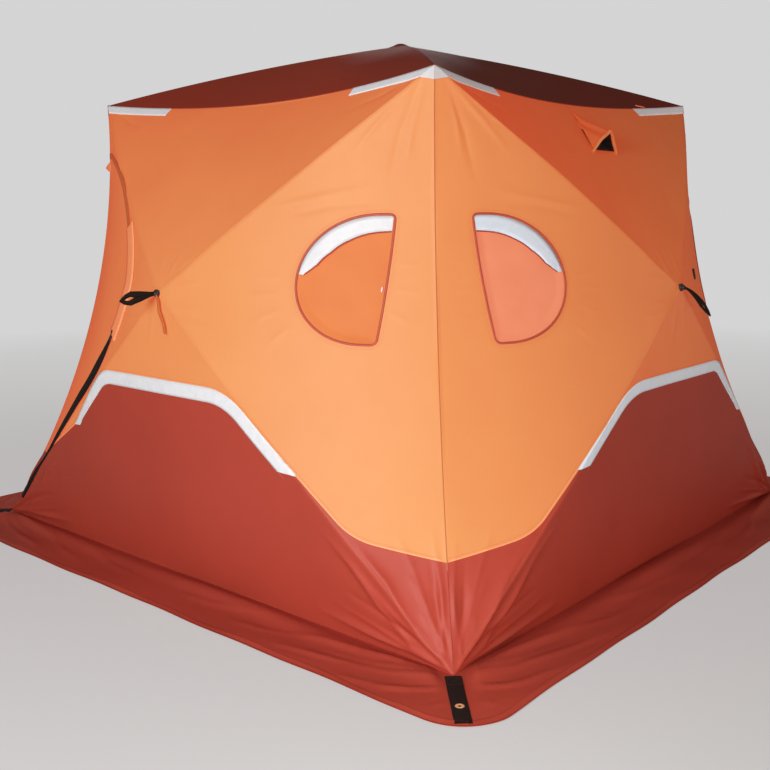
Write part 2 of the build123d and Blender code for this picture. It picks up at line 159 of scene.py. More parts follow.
def distance(xz, line):
    """Distance of each point to a polyline, and the share of its length at the nearest place."""
    line = np.array(line, float)
    best = np.full(len(xz), np.inf)
    where = np.zeros(len(xz))
    run = run_of(line)
    for a, b, r0, r1 in zip(line, line[1:], run, run[1:]):
        t = np.clip(((xz - a) @ (b - a)) / max((b - a) @ (b - a), TINY**2), 0, 1)
        d = np.linalg.norm(xz - a - t[:, None] * (b - a), axis=1)
        near = d < best
        best = np.where(near, d, best)
        where = np.where(near, (r0 + t * (r1 - r0)) / run[-1], where)
    return best, where


DOOR_LINE = np.concatenate((arc(*DOOR_ARCS[0]), arc(*DOOR_ARCS[1])[1:], [DOOR_SILL]))


def has_door(turn):
    """The front and back walls have a door, and the right and left ones a vent and a second window."""
    return turn % 2 == 0


def band_line(turn):
    """Edge of the lower band: its arm beside the door, or away from the near corner, is the steeper one."""
    steep = BAND_DOOR if has_door(turn) else BAND_FAR
    radii = [BAND_FAR_ROUND] * (len(steep) - 1) + [BAND_NEAR_ROUND] * (len(BAND_NEAR) - 1)
    line = filleted([(-x, z) for x, z in steep[::-1]] + list(BAND_NEAR), radii)
    return line if has_door(turn) else (line * (-1, 1))[::-1]


def in_band(xz, turn):
    """Positive under the lower band's edge."""
    line = band_line(turn)
    return np.interp(xz[:, 0], line[:, 0], line[:, 1]) - xz[:, 1]


def in_window(xz, side):
    """Positive inside the window on the given side of the hub."""
    x, z = xz[:, 0] * side, np.abs(xz[:, 1] - WINDOW_Z)
    oval = (1 - np.sqrt(((x - WINDOW_X) / WINDOW_BULGE) ** 2 + (z / WINDOW_HALF) ** 2)) * WINDOW_HALF
    qx, qz = x - (WINDOW_SIDE - WINDOW_ROUND), z - (WINDOW_HALF - WINDOW_ROUND)
    box = np.hypot(np.maximum(qx, 0), np.maximum(qz, 0)) + np.minimum(np.maximum(qx, qz), 0) - WINDOW_ROUND
    return np.where(x < WINDOW_X, oval, -box)


def in_door(xz):
    """Positive on the door's side of its zip, in distance from it."""
    order = np.argsort(DOOR_LINE[:, 1])
    edge = np.interp(xz[:, 1], DOOR_LINE[order, 1], DOOR_LINE[order, 0])
    off, _ = distance(xz, DOOR_LINE)
    return np.where(xz[:, 0] < edge, off, -off)


def oval_points(angles, grow=0.0):
    """Points of a window's round edge."""
    x, z = (WINDOW_BULGE + grow) * np.cos(angles), (WINDOW_HALF + grow) * np.sin(angles)
    return np.stack((WINDOW_X + x, WINDOW_Z + z), 1)


def window_outline(side, grow=0.0):
    """Closed outline of a window, counted from the top of its straight side."""
    oval = oval_points(np.linspace(math.pi / 2, 3 * math.pi / 2, 60), grow)
    side_x, high, r = WINDOW_SIDE + grow, WINDOW_HALF + grow, WINDOW_ROUND + grow
    quarter = np.linspace(0, math.pi / 2, 8)
    low_turn = np.stack((side_x - r + r * np.sin(quarter), WINDOW_Z - high + r - r * np.cos(quarter)), 1)
    high_turn = np.stack((side_x - r + r * np.cos(quarter), WINDOW_Z + high - r + r * np.sin(quarter)), 1)
    loop = np.concatenate((oval, low_turn, high_turn, oval[:1]))
    return along(loop * (side, 1))


# The stretched wall surface and its folds


def gore_point(gore, u, v):
    apex, start, end, bow, pull = gore
    u, v = np.asarray(u, float)[..., None], np.asarray(v, float)[..., None]
    chord = (start - apex) * (1 - v) + (end - apex) * v
    return apex + u * chord + 4 * u * (1 - u) * bow + 4 * v * (1 - v) * u * u * pull


def gore_normal(gore, u, v):
    step = 1e-4
    along_u = gore_point(gore, u + step, v) - gore_point(gore, u - step, v)
    along_v = gore_point(gore, u, v + step) - gore_point(gore, u, v - step)
    return unit(np.cross(along_v, along_u))


def gore_at(gore, xz):
    """u and v of the gore over points of the elevation, by Newton's method."""
    apex, start, end, _, pull = gore
    a, p, q, d = (vector[[0, 2]] for vector in (apex, start - apex, end - apex, pull))
    det = p[0] * q[1] - p[1] * q[0]
    rel = xz - a
    s = (rel[:, 0] * q[1] - rel[:, 1] * q[0]) / det
    t = (p[0] * rel[:, 1] - p[1] * rel[:, 0]) / det
    for _ in range(NEWTON_STEPS):
        u = np.maximum(s + t, TINY)
        v = t / u
        pulled = rel - (4 * v * (1 - v) * u * u)[:, None] * d
        s = (pulled[:, 0] * q[1] - pulled[:, 1] * q[0]) / det
        t = (p[0] * pulled[:, 1] - p[1] * pulled[:, 0]) / det
    u = np.maximum(s + t, TINY)
    return u, t / u


def sector(xz):
    """Name of the gore over each point of the elevation."""
    rel = xz - HUB[[0, 2]]
    crosses = []
    for corner in CORNERS:
        spoke = corner[[0, 2]] - HUB[[0, 2]]
        crosses.append(spoke[0] * rel[:, 1] - spoke[1] * rel[:, 0])
    names = np.full(len(xz), "top", dtype="<U5")
    names[(crosses[1] <= 0) & (crosses[2] > 0)] = "right"
    names[(crosses[2] <= 0) & (crosses[3] > 0)] = "base"
    names[(crosses[3] <= 0) & (crosses[0] > 0)] = "left"
    return names


# Folds as (line in elevation, width, height): drawn for the right-hand corners and mirrored for the left.
BASE_FOLDS = (
    (((1.262, 0.01), (1.216, 0.05), (1.175, 0.18), (1.135, 0.27)), 0.010, 0.0065),
    (((1.258, 0.01), (1.164, 0.075), (1.089, 0.154), (1.014, 0.235), (0.90, 0.33)), 0.012, 0.0115),
    (((1.255, 0.01), (1.114, 0.05), (0.984, 0.164), (0.891, 0.262), (0.77, 0.35)), 0.014, 0.0110),
    (((1.25, 0.01), (1.094, 0.03), (0.90, 0.045), (0.729, 0.06)), 0.014, 0.0115),
    (((1.25, 0.012), (1.12, 0.075), (1.02, 0.115), (0.86, 0.16)), 0.012, -0.0065),
    (((1.26, 0.012), (1.205, 0.10), (1.13, 0.22)), 0.009, -0.0050),
    (((1.236, 0.03), (1.205, 0.11), (1.163, 0.21)), 0.008, 0.0055),
    (((1.222, 0.04), (1.178, 0.13), (1.138, 0.22), (1.10, 0.30)), 0.008, -0.0050),
    (((1.195, 0.14), (1.138, 0.27), (1.088, 0.38)), 0.009, 0.0036),
    (((1.255, 0.012), (1.03, 0.14), (0.86, 0.27)), 0.009, 0.0048),
    (((1.25, 0.01), (1.00, 0.07), (0.80, 0.115)), 0.009, 0.0050),
    (((1.258, 0.015), (1.15, 0.15), (1.07, 0.27), (1.00, 0.36)), 0.009, 0.0044),
    (((1.262, 0.02), (1.19, 0.16), (1.15, 0.26)), 0.008, 0.0038),
    (((1.13, 0.17), (1.06, 0.25)), 0.010, 0.0040),
    (((1.17, 0.11), (1.134, 0.157)), 0.009, 0.0036),
)
TOP_FOLDS = (
    (((0.86, 1.77), (0.80, 1.60), (0.775, 1.45)), 0.013, -0.0045),
    (((0.865, 1.76), (0.835, 1.62), (0.822, 1.50)), 0.010, 0.0038),
    (((0.85, 1.755), (0.73, 1.62), (0.66, 1.53)), 0.011, 0.0042),
    (((0.84, 1.775), (0.68, 1.71), (0.57, 1.68)), 0.012, -0.0032),
)
WINDOW_FOLDS = (
    (((0.47, 1.13), (0.39, 1.135)), 0.010, 0.0020),
    (((0.475, 1.085), (0.37, 1.075)), 0.010, 0.0022),
    (((0.49, 1.03), (0.40, 0.99)), 0.010, 0.0020),
    (((0.53, 0.97), (0.46, 0.91)), 0.010, 0.0018),
    (((0.41, 1.36), (0.55, 1.385), (0.72, 1.42)), 0.013, 0.0026),
    (((0.45, 1.33), (0.60, 1.365), (0.76, 1.375)), 0.012, -0.0022),
    (((0.83, 1.18), (0.89, 1.185)), 0.010, 0.0018),
    (((0.83, 1.10), (0.90, 1.09)), 0.010, 0.0018),
    (((0.83, 1.02), (0.895, 0.99)), 0.010, 0.0016),
)
HUB_FOLDS = (
    (((0.06, 1.02), (0.20, 1.01)), 0.010, 0.0024),
    (((0.09, 0.985), (0.26, 0.965)), 0.011, 0.0020),
    (((0.05, 1.09), (0.19, 1.115)), 0.010, 0.0018),
    (((0.06, 1.13), (0.15, 1.19)), 0.010, -0.0016),
    (((0.03, 1.12), (0.05, 1.21)), 0.010, 0.0018),
    (((0.03, 1.00), (0.06, 0.88)), 0.011, 0.0018),
)
FOLD_CREST, FOLD_FULLNESS, FOLD_SHARPNESS = 0.003, 0.6, 1.5
FOLD_END_SHARES = (0.02, 0.98)
FOLD_SWELL, FOLD_SWELL_WAVES = 0.25, 9
FOLD_FAN_SHARES = (0.8, 0.7)
FOLD_TROUGH, FOLD_TROUGH_WIDE = 0.35, 2.4
FOLD_SHIFT_X, FOLD_SHIFT_Z, FOLD_VARIATION = 0.006, 0.005, 0.2
BASE_FOLDS_REACH, TOP_FOLDS_REACH, HUB_FOLDS_REACH = 0.75, 0.6, 0.4
WINDOW_FOLDS_FROM, WINDOW_FOLDS_REACH = 0.3, 0.45
WALL_PHASE = 1.7
# Slow billows as (height, two waves), each wave as (along x, along z, start, share of the wall's phase).
BILLOWS = (
    (0.0022, (5.1, 2.3, 0.0, 1), (-1.9, 4.3, 0.6, 1)),
    (0.0012, (11.3, -6.1, 0.0, 2), (3.3, 9.7, 1.1, 0)),
)


def fold(xz, line, width, height, wander):
    """A rounded crest along a line, fading at its ends, with a shallow trough on both sides."""
    off, share = distance(xz, line)
    swell = np.sin(np.pi * np.clip(share, *FOLD_END_SHARES)) ** FOLD_FULLNESS
    swell *= 1 + FOLD_SWELL * np.sin(FOLD_SWELL_WAVES * share + wander)
    spread = width * (FOLD_FAN_SHARES[0] + FOLD_FAN_SHARES[1] * share)
    crest = np.exp(-FOLD_SHARPNESS * (np.hypot(off, FOLD_CREST) - FOLD_CREST) / spread)
    return height * swell * (crest - FOLD_TROUGH * np.exp(-((off / (FOLD_TROUGH_WIDE * spread)) ** 2)))


def slack(xz, turn):
    """How far the fabric stands off its stretched form: slow billows, gathered corners and small puckers."""
    x, z = xz[:, 0], xz[:, 1]
    phase = WALL_PHASE * turn
    rise = np.zeros(len(xz))
    for height, *waves in BILLOWS:
        one, two = (np.sin(a * x + b * z + start + share * phase) for a, b, start, share in waves)
        rise += height * one * two
    for side in (1, -1):
        mirrored = xz * (side, 1)
        groups = [
            (BASE_FOLDS, np.hypot(mirrored[:, 0] - BASE_HALF, z) < BASE_FOLDS_REACH),
            (TOP_FOLDS, np.hypot(mirrored[:, 0] - TOP_HALF, z - TOP_HEIGHT) < TOP_FOLDS_REACH),
            (HUB_FOLDS, np.hypot(x, z - HUB[2]) < HUB_FOLDS_REACH),
        ]
        if side == 1 or not has_door(turn):
            beside = (mirrored[:, 0] > WINDOW_FOLDS_FROM) & (np.abs(z - WINDOW_Z) < WINDOW_FOLDS_REACH)
            groups.append((WINDOW_FOLDS, beside))
        for folds, reach in groups:
            for k, (line, width, height) in enumerate(folds):
                shift = FOLD_SHIFT_X * math.sin(3 * k + phase), FOLD_SHIFT_Z * math.sin(5 * k + 2 * phase)
                height *= 1 - FOLD_VARIATION * math.sin(k + phase + side)
                rise[reach] += fold(mirrored[reach], np.array(line) + shift, width, height, k + phase)
    return rise


def wall_point(xz, turn, lift=0.0):
    """Points on the wall's fabric over its elevation, and the outward normals there."""
    xz = np.asarray(xz, float)
    points, normals = np.zeros((len(xz), 3)), np.zeros((len(xz), 3))
    edge = np.zeros(len(xz))
    names = sector(xz)
    for name, gore in GORES.items():
        pick = names == name
        if pick.any():
            u, v = gore_at(gore, xz[pick])
            points[pick], normals[pick] = gore_point(gore, u, v), gore_normal(gore, u, v)
            edge[pick] = 1 - u
    held = smooth(0.0, HELD_SHARE, edge)
    return points + normals * (slack(xz, turn) * held + lift)[:, None], normals


def turned(points, turn):
    c, s = ((1, 0), (0, 1), (-1, 0), (0, -1))[turn % 4]
    x, y, z = points[..., 0], points[..., 1], points[..., 2]
    return np.stack((c * x - s * y, s * x + c * y, z), -1)


# Mesh helpers


def mesh_piece(name, points, faces, material, uv=None):
    mesh = bpy.data.meshes.new(name)
    mesh.from_pydata([tuple(p) for p in points], [], [tuple(int(i) for i in f) for f in faces])
    mesh.validate()
    if uv is not None:
        layer = mesh.uv_layers.new(name="weave")
        index = np.zeros(len(mesh.loops), int)
        mesh.loops.foreach_get("vertex_index", index)
        layer.data.foreach_set("uv", np.asarray(uv, np.float32)[index].ravel())
    mesh.polygons.foreach_set("use_smooth", np.ones(len(mesh.polygons), bool))
    mesh.materials.append(material)
    mesh.update()
    piece = bpy.data.objects.new(name, mesh)
    bpy.context.scene.collection.objects.link(piece)
    return piece


def triangle_grid(rows):
    """u, v and faces of an evenly divided triangle with its apex at u = 0."""
    u, v, faces = [0.0], [0.5], []
    for i in range(1, rows + 1):
        u += [i / rows] * (i + 1)
        v += [j / i for j in range(i + 1)]
    first = [i * (i + 1) // 2 for i in range(rows + 2)]
    for i in range(rows):
        for j in range(i + 1):
            faces.append((first[i + 1] + j + 1, first[i + 1] + j, first[i] + j))
            if j < i:
                faces.append((first[i] + j + 1, first[i + 1] + j + 1, first[i] + j))
    return np.array(u), np.array(v), np.array(faces)


def weld(points, extra, faces):
    """Points that coincide made one, and the faces that collapse left out."""
    _, first, inverse = np.unique(np.round(points, 5), axis=0, return_index=True, return_inverse=True)
    faces = inverse.ravel()[faces]
    faces = faces[(faces[:, 0] != faces[:, 1]) & (faces[:, 1] != faces[:, 2]) & (faces[:, 0] != faces[:, 2])]
    return points[first], extra[first], faces


def clip(sheet, values):
    """The part of a triangle sheet where the values at its points are not negative."""
    points, xz, faces = sheet
    values = np.where(np.abs(values) < TINY, TINY, values)
    inside = values[faces] > 0
    count = inside.sum(1)
    whole = faces[count == 3]
    cut = faces[(count == 1) | (count == 2)]
    if len(cut) == 0:
        return tidy(points, xz, whole)
    inside = values[cut] > 0
    lone = np.where(inside.sum(1) == 1, inside.argmax(1), (~inside).argmax(1))
    cut = np.stack([cut[np.arange(len(cut)), (lone + k) % 3] for k in range(3)], 1)
    pairs = np.sort(np.concatenate((cut[:, [0, 1]], cut[:, [0, 2]])), axis=1)
    edges, inverse = np.unique(pairs, axis=0, return_inverse=True)
    t = (values[edges[:, 0]] / (values[edges[:, 0]] - values[edges[:, 1]]))[:, None]
    new_points = points[edges[:, 0]] * (1 - t) + points[edges[:, 1]] * t
    new_xz = xz[edges[:, 0]] * (1 - t) + xz[edges[:, 1]] * t
    inverse = inverse.ravel() + len(points)
    ab, ac = inverse[: len(cut)], inverse[len(cut):]
    keeps_lone = values[cut[:, 0]] > 0
    tips = np.stack((cut[:, 0], ab, ac), 1)[keeps_lone]
    rest = ~keeps_lone
    near = np.stack((ab, cut[:, 1], cut[:, 2]), 1)[rest]
    far = np.stack((ab, cut[:, 2], ac), 1)[rest]
    all_faces = np.concatenate((whole, tips, near, far))
    return tidy(np.concatenate((points, new_points)), np.concatenate((xz, new_xz)), all_faces)


def tidy(points, xz, faces):
    used, inverse = np.unique(faces, return_inverse=True)
    return points[used], xz[used], inverse.reshape(faces.shape)


def stacked(*sheets):
    """Parts of one sheet joined again along their common edges."""
    points, xz, faces = zip(*sheets)
    starts = np.cumsum([0] + [len(part) for part in points])
    faces = [part + start for part, start in zip(faces, starts)]
    return weld(np.concatenate(points), np.concatenate(xz), np.concatenate(faces))


def cut_door(sheet):
    """A sheet's part inside the door's zip, and the rest, with all that lies above and below the door."""
    foot = clip(sheet, DOOR_SILL[1] - sheet[1][:, 1])
    head = clip(sheet, sheet[1][:, 1] - DOOR_LINE[0, 1])
    level = clip(sheet, sheet[1][:, 1] - DOOR_SILL[1])
    level = clip(level, DOOR_LINE[0, 1] - level[1][:, 1])
    door = clip(level, in_door(level[1]))
    level = clip(level, -in_door(level[1]) - ZIP_WIDTH)
    return door, stacked(foot, level, head)


def area(sheet):
    points, _, faces = sheet
    a, b, c = points[faces[:, 0]], points[faces[:, 1]], points[faces[:, 2]]
    return float(np.linalg.norm(np.cross(b - a, c - a), axis=1).sum() / 2)


def wall_sheet(turn, rows):
    """One wall's whole fabric as a welded sheet of four gores."""
    u, v, grid = triangle_grid(rows)
    gores = [gore_point(gore, u, v) for gore in GORES.values()]
    points, xz, faces = stacked(*((flat, flat[:, [0, 2]], grid) for flat in gores))
    placed, _ = wall_point(xz, turn)
    edge = np.linalg.norm(placed - points, axis=1) > STRAYED
    placed[edge] = points[edge]
    return placed, xz, faces


def sheet_piece(name, sheet, turn, material):
    points, xz, faces = sheet
    return mesh_piece(name, turned(points, turn), faces, material, uv=xz)


def grid_faces(rows, columns, closed=False):
    """Quads of a grid of points stored row by row."""
    faces = []
    for i in range(rows if closed else rows - 1):
        n = (i + 1) % rows
        for j in range(columns - 1):
            faces.append((i * columns + j, n * columns + j, n * columns + j + 1, i * columns + j + 1))
    return faces


TAPE_LIFT, TAPE_EDGE = 0.0012, 0.001
LEAN_REACH = 0.12


def ribbon(line, left, right, turn, lift=TAPE_LIFT, lean=0.0, across=4, thick=TAPE_EDGE):
    """Points, faces and weave places of a tape laid on the wall along a line of its elevation.

    The tape reaches left and right of the line, its ends lean by a share of that, and its edges turn down.
    """
    line = np.array(line, float)
    side, tangent = leftward(line)
    left, right = np.broadcast_to(left, len(line)), np.broadcast_to(right, len(line))
    run = run_of(line)
    at_end = np.where(run < run[-1] / 2, -1, 1) * smooth(LEAN_REACH, 0.0, np.minimum(run, run[-1] - run))
    rows, weave = [], []
    shares = np.concatenate(([0], np.linspace(0, 1, across + 1), [1]))
    for k, share in enumerate(shares):
        width = left * share - right * (1 - share)
        flat = line + side * width[:, None] + tangent * (lean * width * at_end)[:, None]
        drop = thick if k in (0, len(shares) - 1) else 0
        rows.append(wall_point(flat, turn, lift - drop)[0])
        weave.append(np.stack((run, width), 1))
    return turned(np.concatenate(rows), turn), grid_faces(len(rows), len(line)), np.concatenate(weave)


def tube(points, normals, wide, tall, sides=8, closed=False):
    """Vertices and faces of a flattened cord along points, its flat side on the normals."""
    normals = np.broadcast_to(normals, points.shape)
    tangent = np.gradient(points, axis=0)
    if closed:
        tangent[0] = tangent[-1] = points[1] - points[-2]
    across = unit(np.cross(unit(tangent), normals))
    rings = []
    for k in range(sides):
        angle = 2 * math.pi * k / sides
        rings.append(points + across * (wide * math.cos(angle)) + normals * (tall * math.sin(angle)))
    verts = np.stack(rings, 1).reshape(-1, 3)
    faces = []
    for j in range(len(points) - 1):
        for k in range(sides):
            n = (k + 1) % sides
            faces.append((j * sides + k, j * sides + n, (j + 1) * sides + n, (j + 1) * sides + k))
    if not closed:
        faces.append(tuple(range(sides))[::-1])
        faces.append(tuple((len(points) - 1) * sides + k for k in range(sides)))
    return verts, faces


def joined(parts):
    """Several meshes as one, with their weave places where they have them."""
    faces, base = [], 0
    for points, part_faces, *_ in parts:
        faces += [tuple(i + base for i in face) for face in part_faces]
        base += len(points)
    points, _, *weave = zip(*parts)
    return (np.concatenate(points), faces, *(np.concatenate(places) for places in weave))


STITCH, STITCH_GAP, STITCH_WIDE, STITCH_LIFT = 0.004, 0.0025, 0.0007, 0.0006
STITCH_PATH_STEP = 0.02


def stitches(points, normals, length=STITCH, gap=STITCH_GAP, wide=STITCH_WIDE, lift=STITCH_LIFT):
    """A row of short raised threads along points."""
    spots = along(np.concatenate((points, np.broadcast_to(normals, points.shape)), 1), length + gap)
    parts = []
    for here, there in zip(spots[:-1], spots[1:]):
        a, b = here[:3], here[:3] + (there[:3] - here[:3]) * (length / (length + gap))
        n = unit(here[3:])
        s = np.cross(unit(b - a), n) * wide
        m = (a + b) / 2 + n * lift
        parts.append((np.array((a, m - s, m + s, b)), [(0, 1, 2), (1, 3, 2)]))
    return parts


# Materials

# The oranges are yellowish bases that the painted red emission below turns orange.
ORANGE = (0.325, 0.272, 0.094)
ORANGE_PALE = (0.42, 0.35, 0.15)
ORANGE_DEEP = (0.30, 0.15, 0.048)
RED = (0.40, 0.052, 0.031)
WHITE = (0.76, 0.80, 0.84)
NO_GLOW = (0.0, 0.0, 0.0)
# Painted light: red emission on the orange cloth, panes and hood, standing in for light on the cloth and its
# warm hue in shade.
PAINTED_GLOW = (0.48, 0.010, 0.002)
ROOF_PAINTED_GLOW = (0.075, 0.008, 0.003)
# A painted light's fade as its direction, and the reaches and strengths at the start and end of the fade.
PAINTED_GLOW_FADE = ((0.0, 1.0, 0.0), (-0.9, 0.9, 1.0, 0.52))
ROOF_PAINTED_GLOW_FADE = ((0.7, 0.7, 0.0), (-0.32, 0.10, 1.0, 0.0))
RANGE_SOCKETS = ("From Min", "From Max", "To Min", "To Max")
THREADS = 143.0


def scaled(colour, factor):
    return tuple(min(c * factor, 1.0) for c in colour)


def fill(node, values):
    """Set a node's sockets, or its properties where it has no such socket."""
    for key, value in values.items():
        if key in node.inputs:
            node.inputs[key].default_value = value
        else:
            setattr(node, key, value)
    return node


class Paint:
    """A procedural material while its nodes are wired up."""

    def __init__(self, name, roughness, gloss=0.5):
        self.material = bpy.data.materials.new(name)
        self.material.use_nodes = True
        self.nodes = self.material.node_tree.nodes
        self.link = self.material.node_tree.links.new
        self.bsdf = fill(self.nodes["Principled BSDF"], {"Roughness": roughness, "Specular IOR Level": gloss})
        self.place = self.add("TexCoord")
        self.relief = None

    def add(self, kind, **values):
        return fill(self.nodes.new("ShaderNode" + kind), values)

    def texture(self, kind, coordinates="Object", **values):
        node = self.add(kind, **values)
        self.link(self.place.outputs[coordinates], node.inputs["Vector"])
        return node

    def tint(self, source, colour, dark=(0.3, 0.95), light=(0.7, 1.05)):
        """Base colour that runs between two shades, each given by its place and its share of the colour."""
        ramp = self.add("ValToRGB")
        for element, (position, share) in zip(ramp.color_ramp.elements, (dark, light)):
            element.position, element.color = position, (*scaled(colour, share), 1)
        self.link(source, ramp.inputs["Fac"])
        self.link(ramp.outputs["Color"], self.bsdf.inputs["Base Color"])

    def bump(self, height, strength, distance):
        """Relief over the relief that is there already."""
        node = self.add("Bump", Strength=strength, Distance=distance)
        self.link(height, node.inputs["Height"])
        if self.relief:
            self.link(self.relief, node.inputs["Normal"])
        self.relief = node.outputs["Normal"]
        self.link(self.relief, self.bsdf.inputs["Normal"])

    def map_range(self, source, values, target):
        node = fill(self.add("MapRange"), values)
        self.link(source, node.inputs["Value"])
        self.link(node.outputs["Result"], target)

    def add_painted_glow(self, painted_glow, fade):
        """Painted light: emission standing in for light on and through the cloth, strongest on the lit side
        and weaker along one direction.
        """
        fill(self.bsdf, {"Emission Color": (*painted_glow, 1)})
        reach = self.add("VectorMath", operation="DOT_PRODUCT")
        self.link(self.place.outputs["Object"], reach.inputs[0])
        reach.inputs[1].default_value = fade[0]
        strength = self.bsdf.inputs["Emission Strength"]
        self.map_range(reach.outputs["Value"], dict(zip(RANGE_SOCKETS, fade[1])), strength)


def cloth(name, colour, gloss=0.3, painted_glow=NO_GLOW, weave=0.12, crease=0.25, fade=PAINTED_GLOW_FADE):
    """Coated polyester: fine weave, soft handling creases, uneven dye and painted light emitted from it."""
    paint = Paint(name, 0.5, gloss)
    paint.add_painted_glow(painted_glow, fade)
    dye = paint.texture("TexNoise", Scale=2.3, Detail=5.0, Roughness=0.6)
    paint.tint(dye.outputs["Fac"], colour)
    threads = paint.add("Math", operation="MULTIPLY")
    for k, way in enumerate("XY"):
        wave = paint.texture("TexWave", "UV", Scale=THREADS, bands_direction=way)
        paint.link(wave.outputs["Fac"], threads.inputs[k])
    paint.bump(threads.outputs[0], weave, 0.0006)
    handling = paint.texture("TexNoise", Scale=14.0, Detail=6.0, Roughness=0.55)
    paint.bump(handling.outputs["Fac"], crease, 0.004)
    return paint.material


def webbing(name, colour):
    """Ribbed woven strap."""
    paint = Paint(name, 0.75, 0.25)
    rib = paint.texture("TexWave", "UV", Scale=70.0, Distortion=1.2, bands_direction="X")
    fill(rib, {"Detail Scale": 4.0})
    paint.tint(rib.outputs["Fac"], colour, (0.0, 0.7), (1.0, 1.4))
    paint.bump(rib.outputs["Fac"], 0.5, 0.0008)
    return paint.material


def reflective(name, colour, painted_shine=0.0):
    """Silver-white reflective tape with a fine bead grid and fine cross creases, and painted light: its own
    colour emitted at the given strength.
    """
    paint = Paint(name, 0.42)
    fill(paint.bsdf, {"Emission Color": (*colour, 1), "Emission Strength": painted_shine})
    crinkle = paint.texture("TexNoise", Scale=38.0, Detail=4.0, Distortion=0.6)
    paint.tint(crinkle.outputs["Fac"], colour, (0.3, 0.93), (0.65, 1.0))
    beads = paint.texture("TexVoronoi", "UV", Scale=900.0)
    paint.bump(beads.outputs["Distance"], 0.12, 0.0004)
    paint.bump(crinkle.outputs["Fac"], 0.3, 0.003)
    return paint.material


def film(name, colour):
    """Soft clear vinyl over a backing of the same warm colour, with the cloth's painted light emitted from
    it.
    """
    paint = Paint(name, 0.55, 0.15)
    paint.add_painted_glow(PAINTED_GLOW, PAINTED_GLOW_FADE)
    haze = paint.texture("TexNoise", Scale=9.0, Detail=4.0)
    paint.tint(haze.outputs["Fac"], colour)
    paint.bump(haze.outputs["Fac"], 0.25, 0.004)
    return paint.material


def moulded(name, colour, roughness=0.5, metallic=0.0):
    """Moulded plastic or stamped metal with a faint grain and worn highlights."""
    paint = Paint(name, roughness)
    fill(paint.bsdf, {"Metallic": metallic})
    grain = paint.texture("TexNoise", Scale=260.0, Detail=3.0).outputs["Fac"]
    paint.tint(grain, colour, (0.3, 0.85), (0.7, 1.15))
    wear = {"To Min": roughness - 0.08, "To Max": roughness + 0.08}
    paint.map_range(grain, wear, paint.bsdf.inputs["Roughness"])
    paint.bump(grain, 0.15, 0.0004)
    return paint.material


orange_cloth = cloth("orange_cloth", ORANGE, painted_glow=PAINTED_GLOW)
flap_cloth = cloth("flap_cloth", ORANGE_PALE, painted_glow=PAINTED_GLOW)
seam_cloth = cloth("seam_cloth", ORANGE_DEEP, painted_glow=scaled(PAINTED_GLOW, 0.5))
hub_strip_cloth = cloth("hub_strip_cloth", (0.55, 0.13, 0.03))
hood_cloth = cloth("hood_cloth", (0.32, 0.165, 0.052), painted_glow=PAINTED_GLOW)
red_cloth = cloth("red_cloth", RED)
# Painted shade and light: the roof is the band's red darkened to 0.56, with painted red emission strongest on
# the front and left gores.
roof_cloth = cloth("roof_cloth", scaled(RED, 0.56), gloss=0.1, painted_glow=ROOF_PAINTED_GLOW, fade=ROOF_PAINTED_GLOW_FADE)
skirt_cloth = cloth("skirt_cloth", (0.42, 0.058, 0.037), gloss=0.35, crease=0.4)
window_cord = cloth("window_cord", (0.46, 0.085, 0.05), weave=0.2)
piping_cloth = cloth("piping_cloth", scaled(RED, 0.9), weave=0.2)
tape_white = reflective("tape_white", WHITE)
# Painted shade: darker copies of the white tape, for the wrap round the eave corner and for the window tape.
tape_painted_shade = reflective("tape_painted_shade", scaled(WHITE, 0.74))
tape_pane = reflective("tape_pane", scaled(WHITE, 0.84))
# Painted light: blue-tinted copies of the white tape for the side walls, against the warm light there; the
# hump tape's copy also emits.
tape_cool_painted_light = reflective("tape_cool_painted_light", (0.70, 0.86, 0.98), 0.10)
tape_pane_cool_painted_light = reflective("tape_pane_cool_painted_light", (0.67, 0.80, 0.92))
# Painted light: the eave tape emits its own colour, standing in for the light on it.
tape_eave_painted_glow = reflective("tape_eave_painted_glow", WHITE, 0.17)
pane_film = film("pane_film", (0.28, 0.185, 0.055))
pane_film_pale = film("pane_film_pale", (0.385, 0.275, 0.155))
black_webbing = webbing("black_webbing", (0.007, 0.006, 0.006))
zip_tape = webbing("zip_tape", (0.010, 0.008, 0.008))
black_plastic = moulded("black_plastic", (0.02, 0.02, 0.022))
black_net = moulded("black_net", (0.012, 0.010, 0.010), roughness=0.9)
fibreglass = moulded("fibreglass", (0.035, 0.033, 0.03), roughness=0.35)
brass = moulded("brass", (0.86, 0.66, 0.36), roughness=0.3, metallic=0.5)
thread_dark = moulded("thread_dark", (0.25, 0.045, 0.025), roughness=0.7)
thread_orange = moulded("thread_orange", (0.62, 0.15, 0.045), roughness=0.7)
thread_pale = moulded("thread_pale", (0.55, 0.55, 0.55), roughness=0.7)
thread_grey = moulded("thread_grey", (0.06, 0.06, 0.06), roughness=0.7)


# Pieces of the shelter

SHEET_FILL = 0.32
PAD_SIDES, PAD_SQUARENESS = 24, 0.6
PAD_RINGS = ((0.86, 0), (1, 0.25), (1, 0.75), (0.86, 1))


def keep(piece, slot, *nodes):
    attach(piece, "root")
    if nodes:
        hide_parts(*nodes)
    return piece


def declare(piece, sheet, with_pieces=()):
    """Width and length of a cloth whose cut fills part of the rectangle that its widest and tallest reach
    give; they are worked out and not kept.
    """
    reach = np.ptp(sheet[0], axis=0)
    width, size = float(reach[0]), area(sheet)
    length = max(float(math.hypot(reach[1], reach[2])), size / width)
    width = min(width, size / (SHEET_FILL * length))


def lay(name, made, material, slot, *nodes):
    """Put a made mesh in the scene as a piece of the shelter."""
    points, faces, *weave = made
    piece = mesh_piece(name, points, faces, material, uv=weave[0] if weave else None)
    return keep(piece, slot, *nodes)


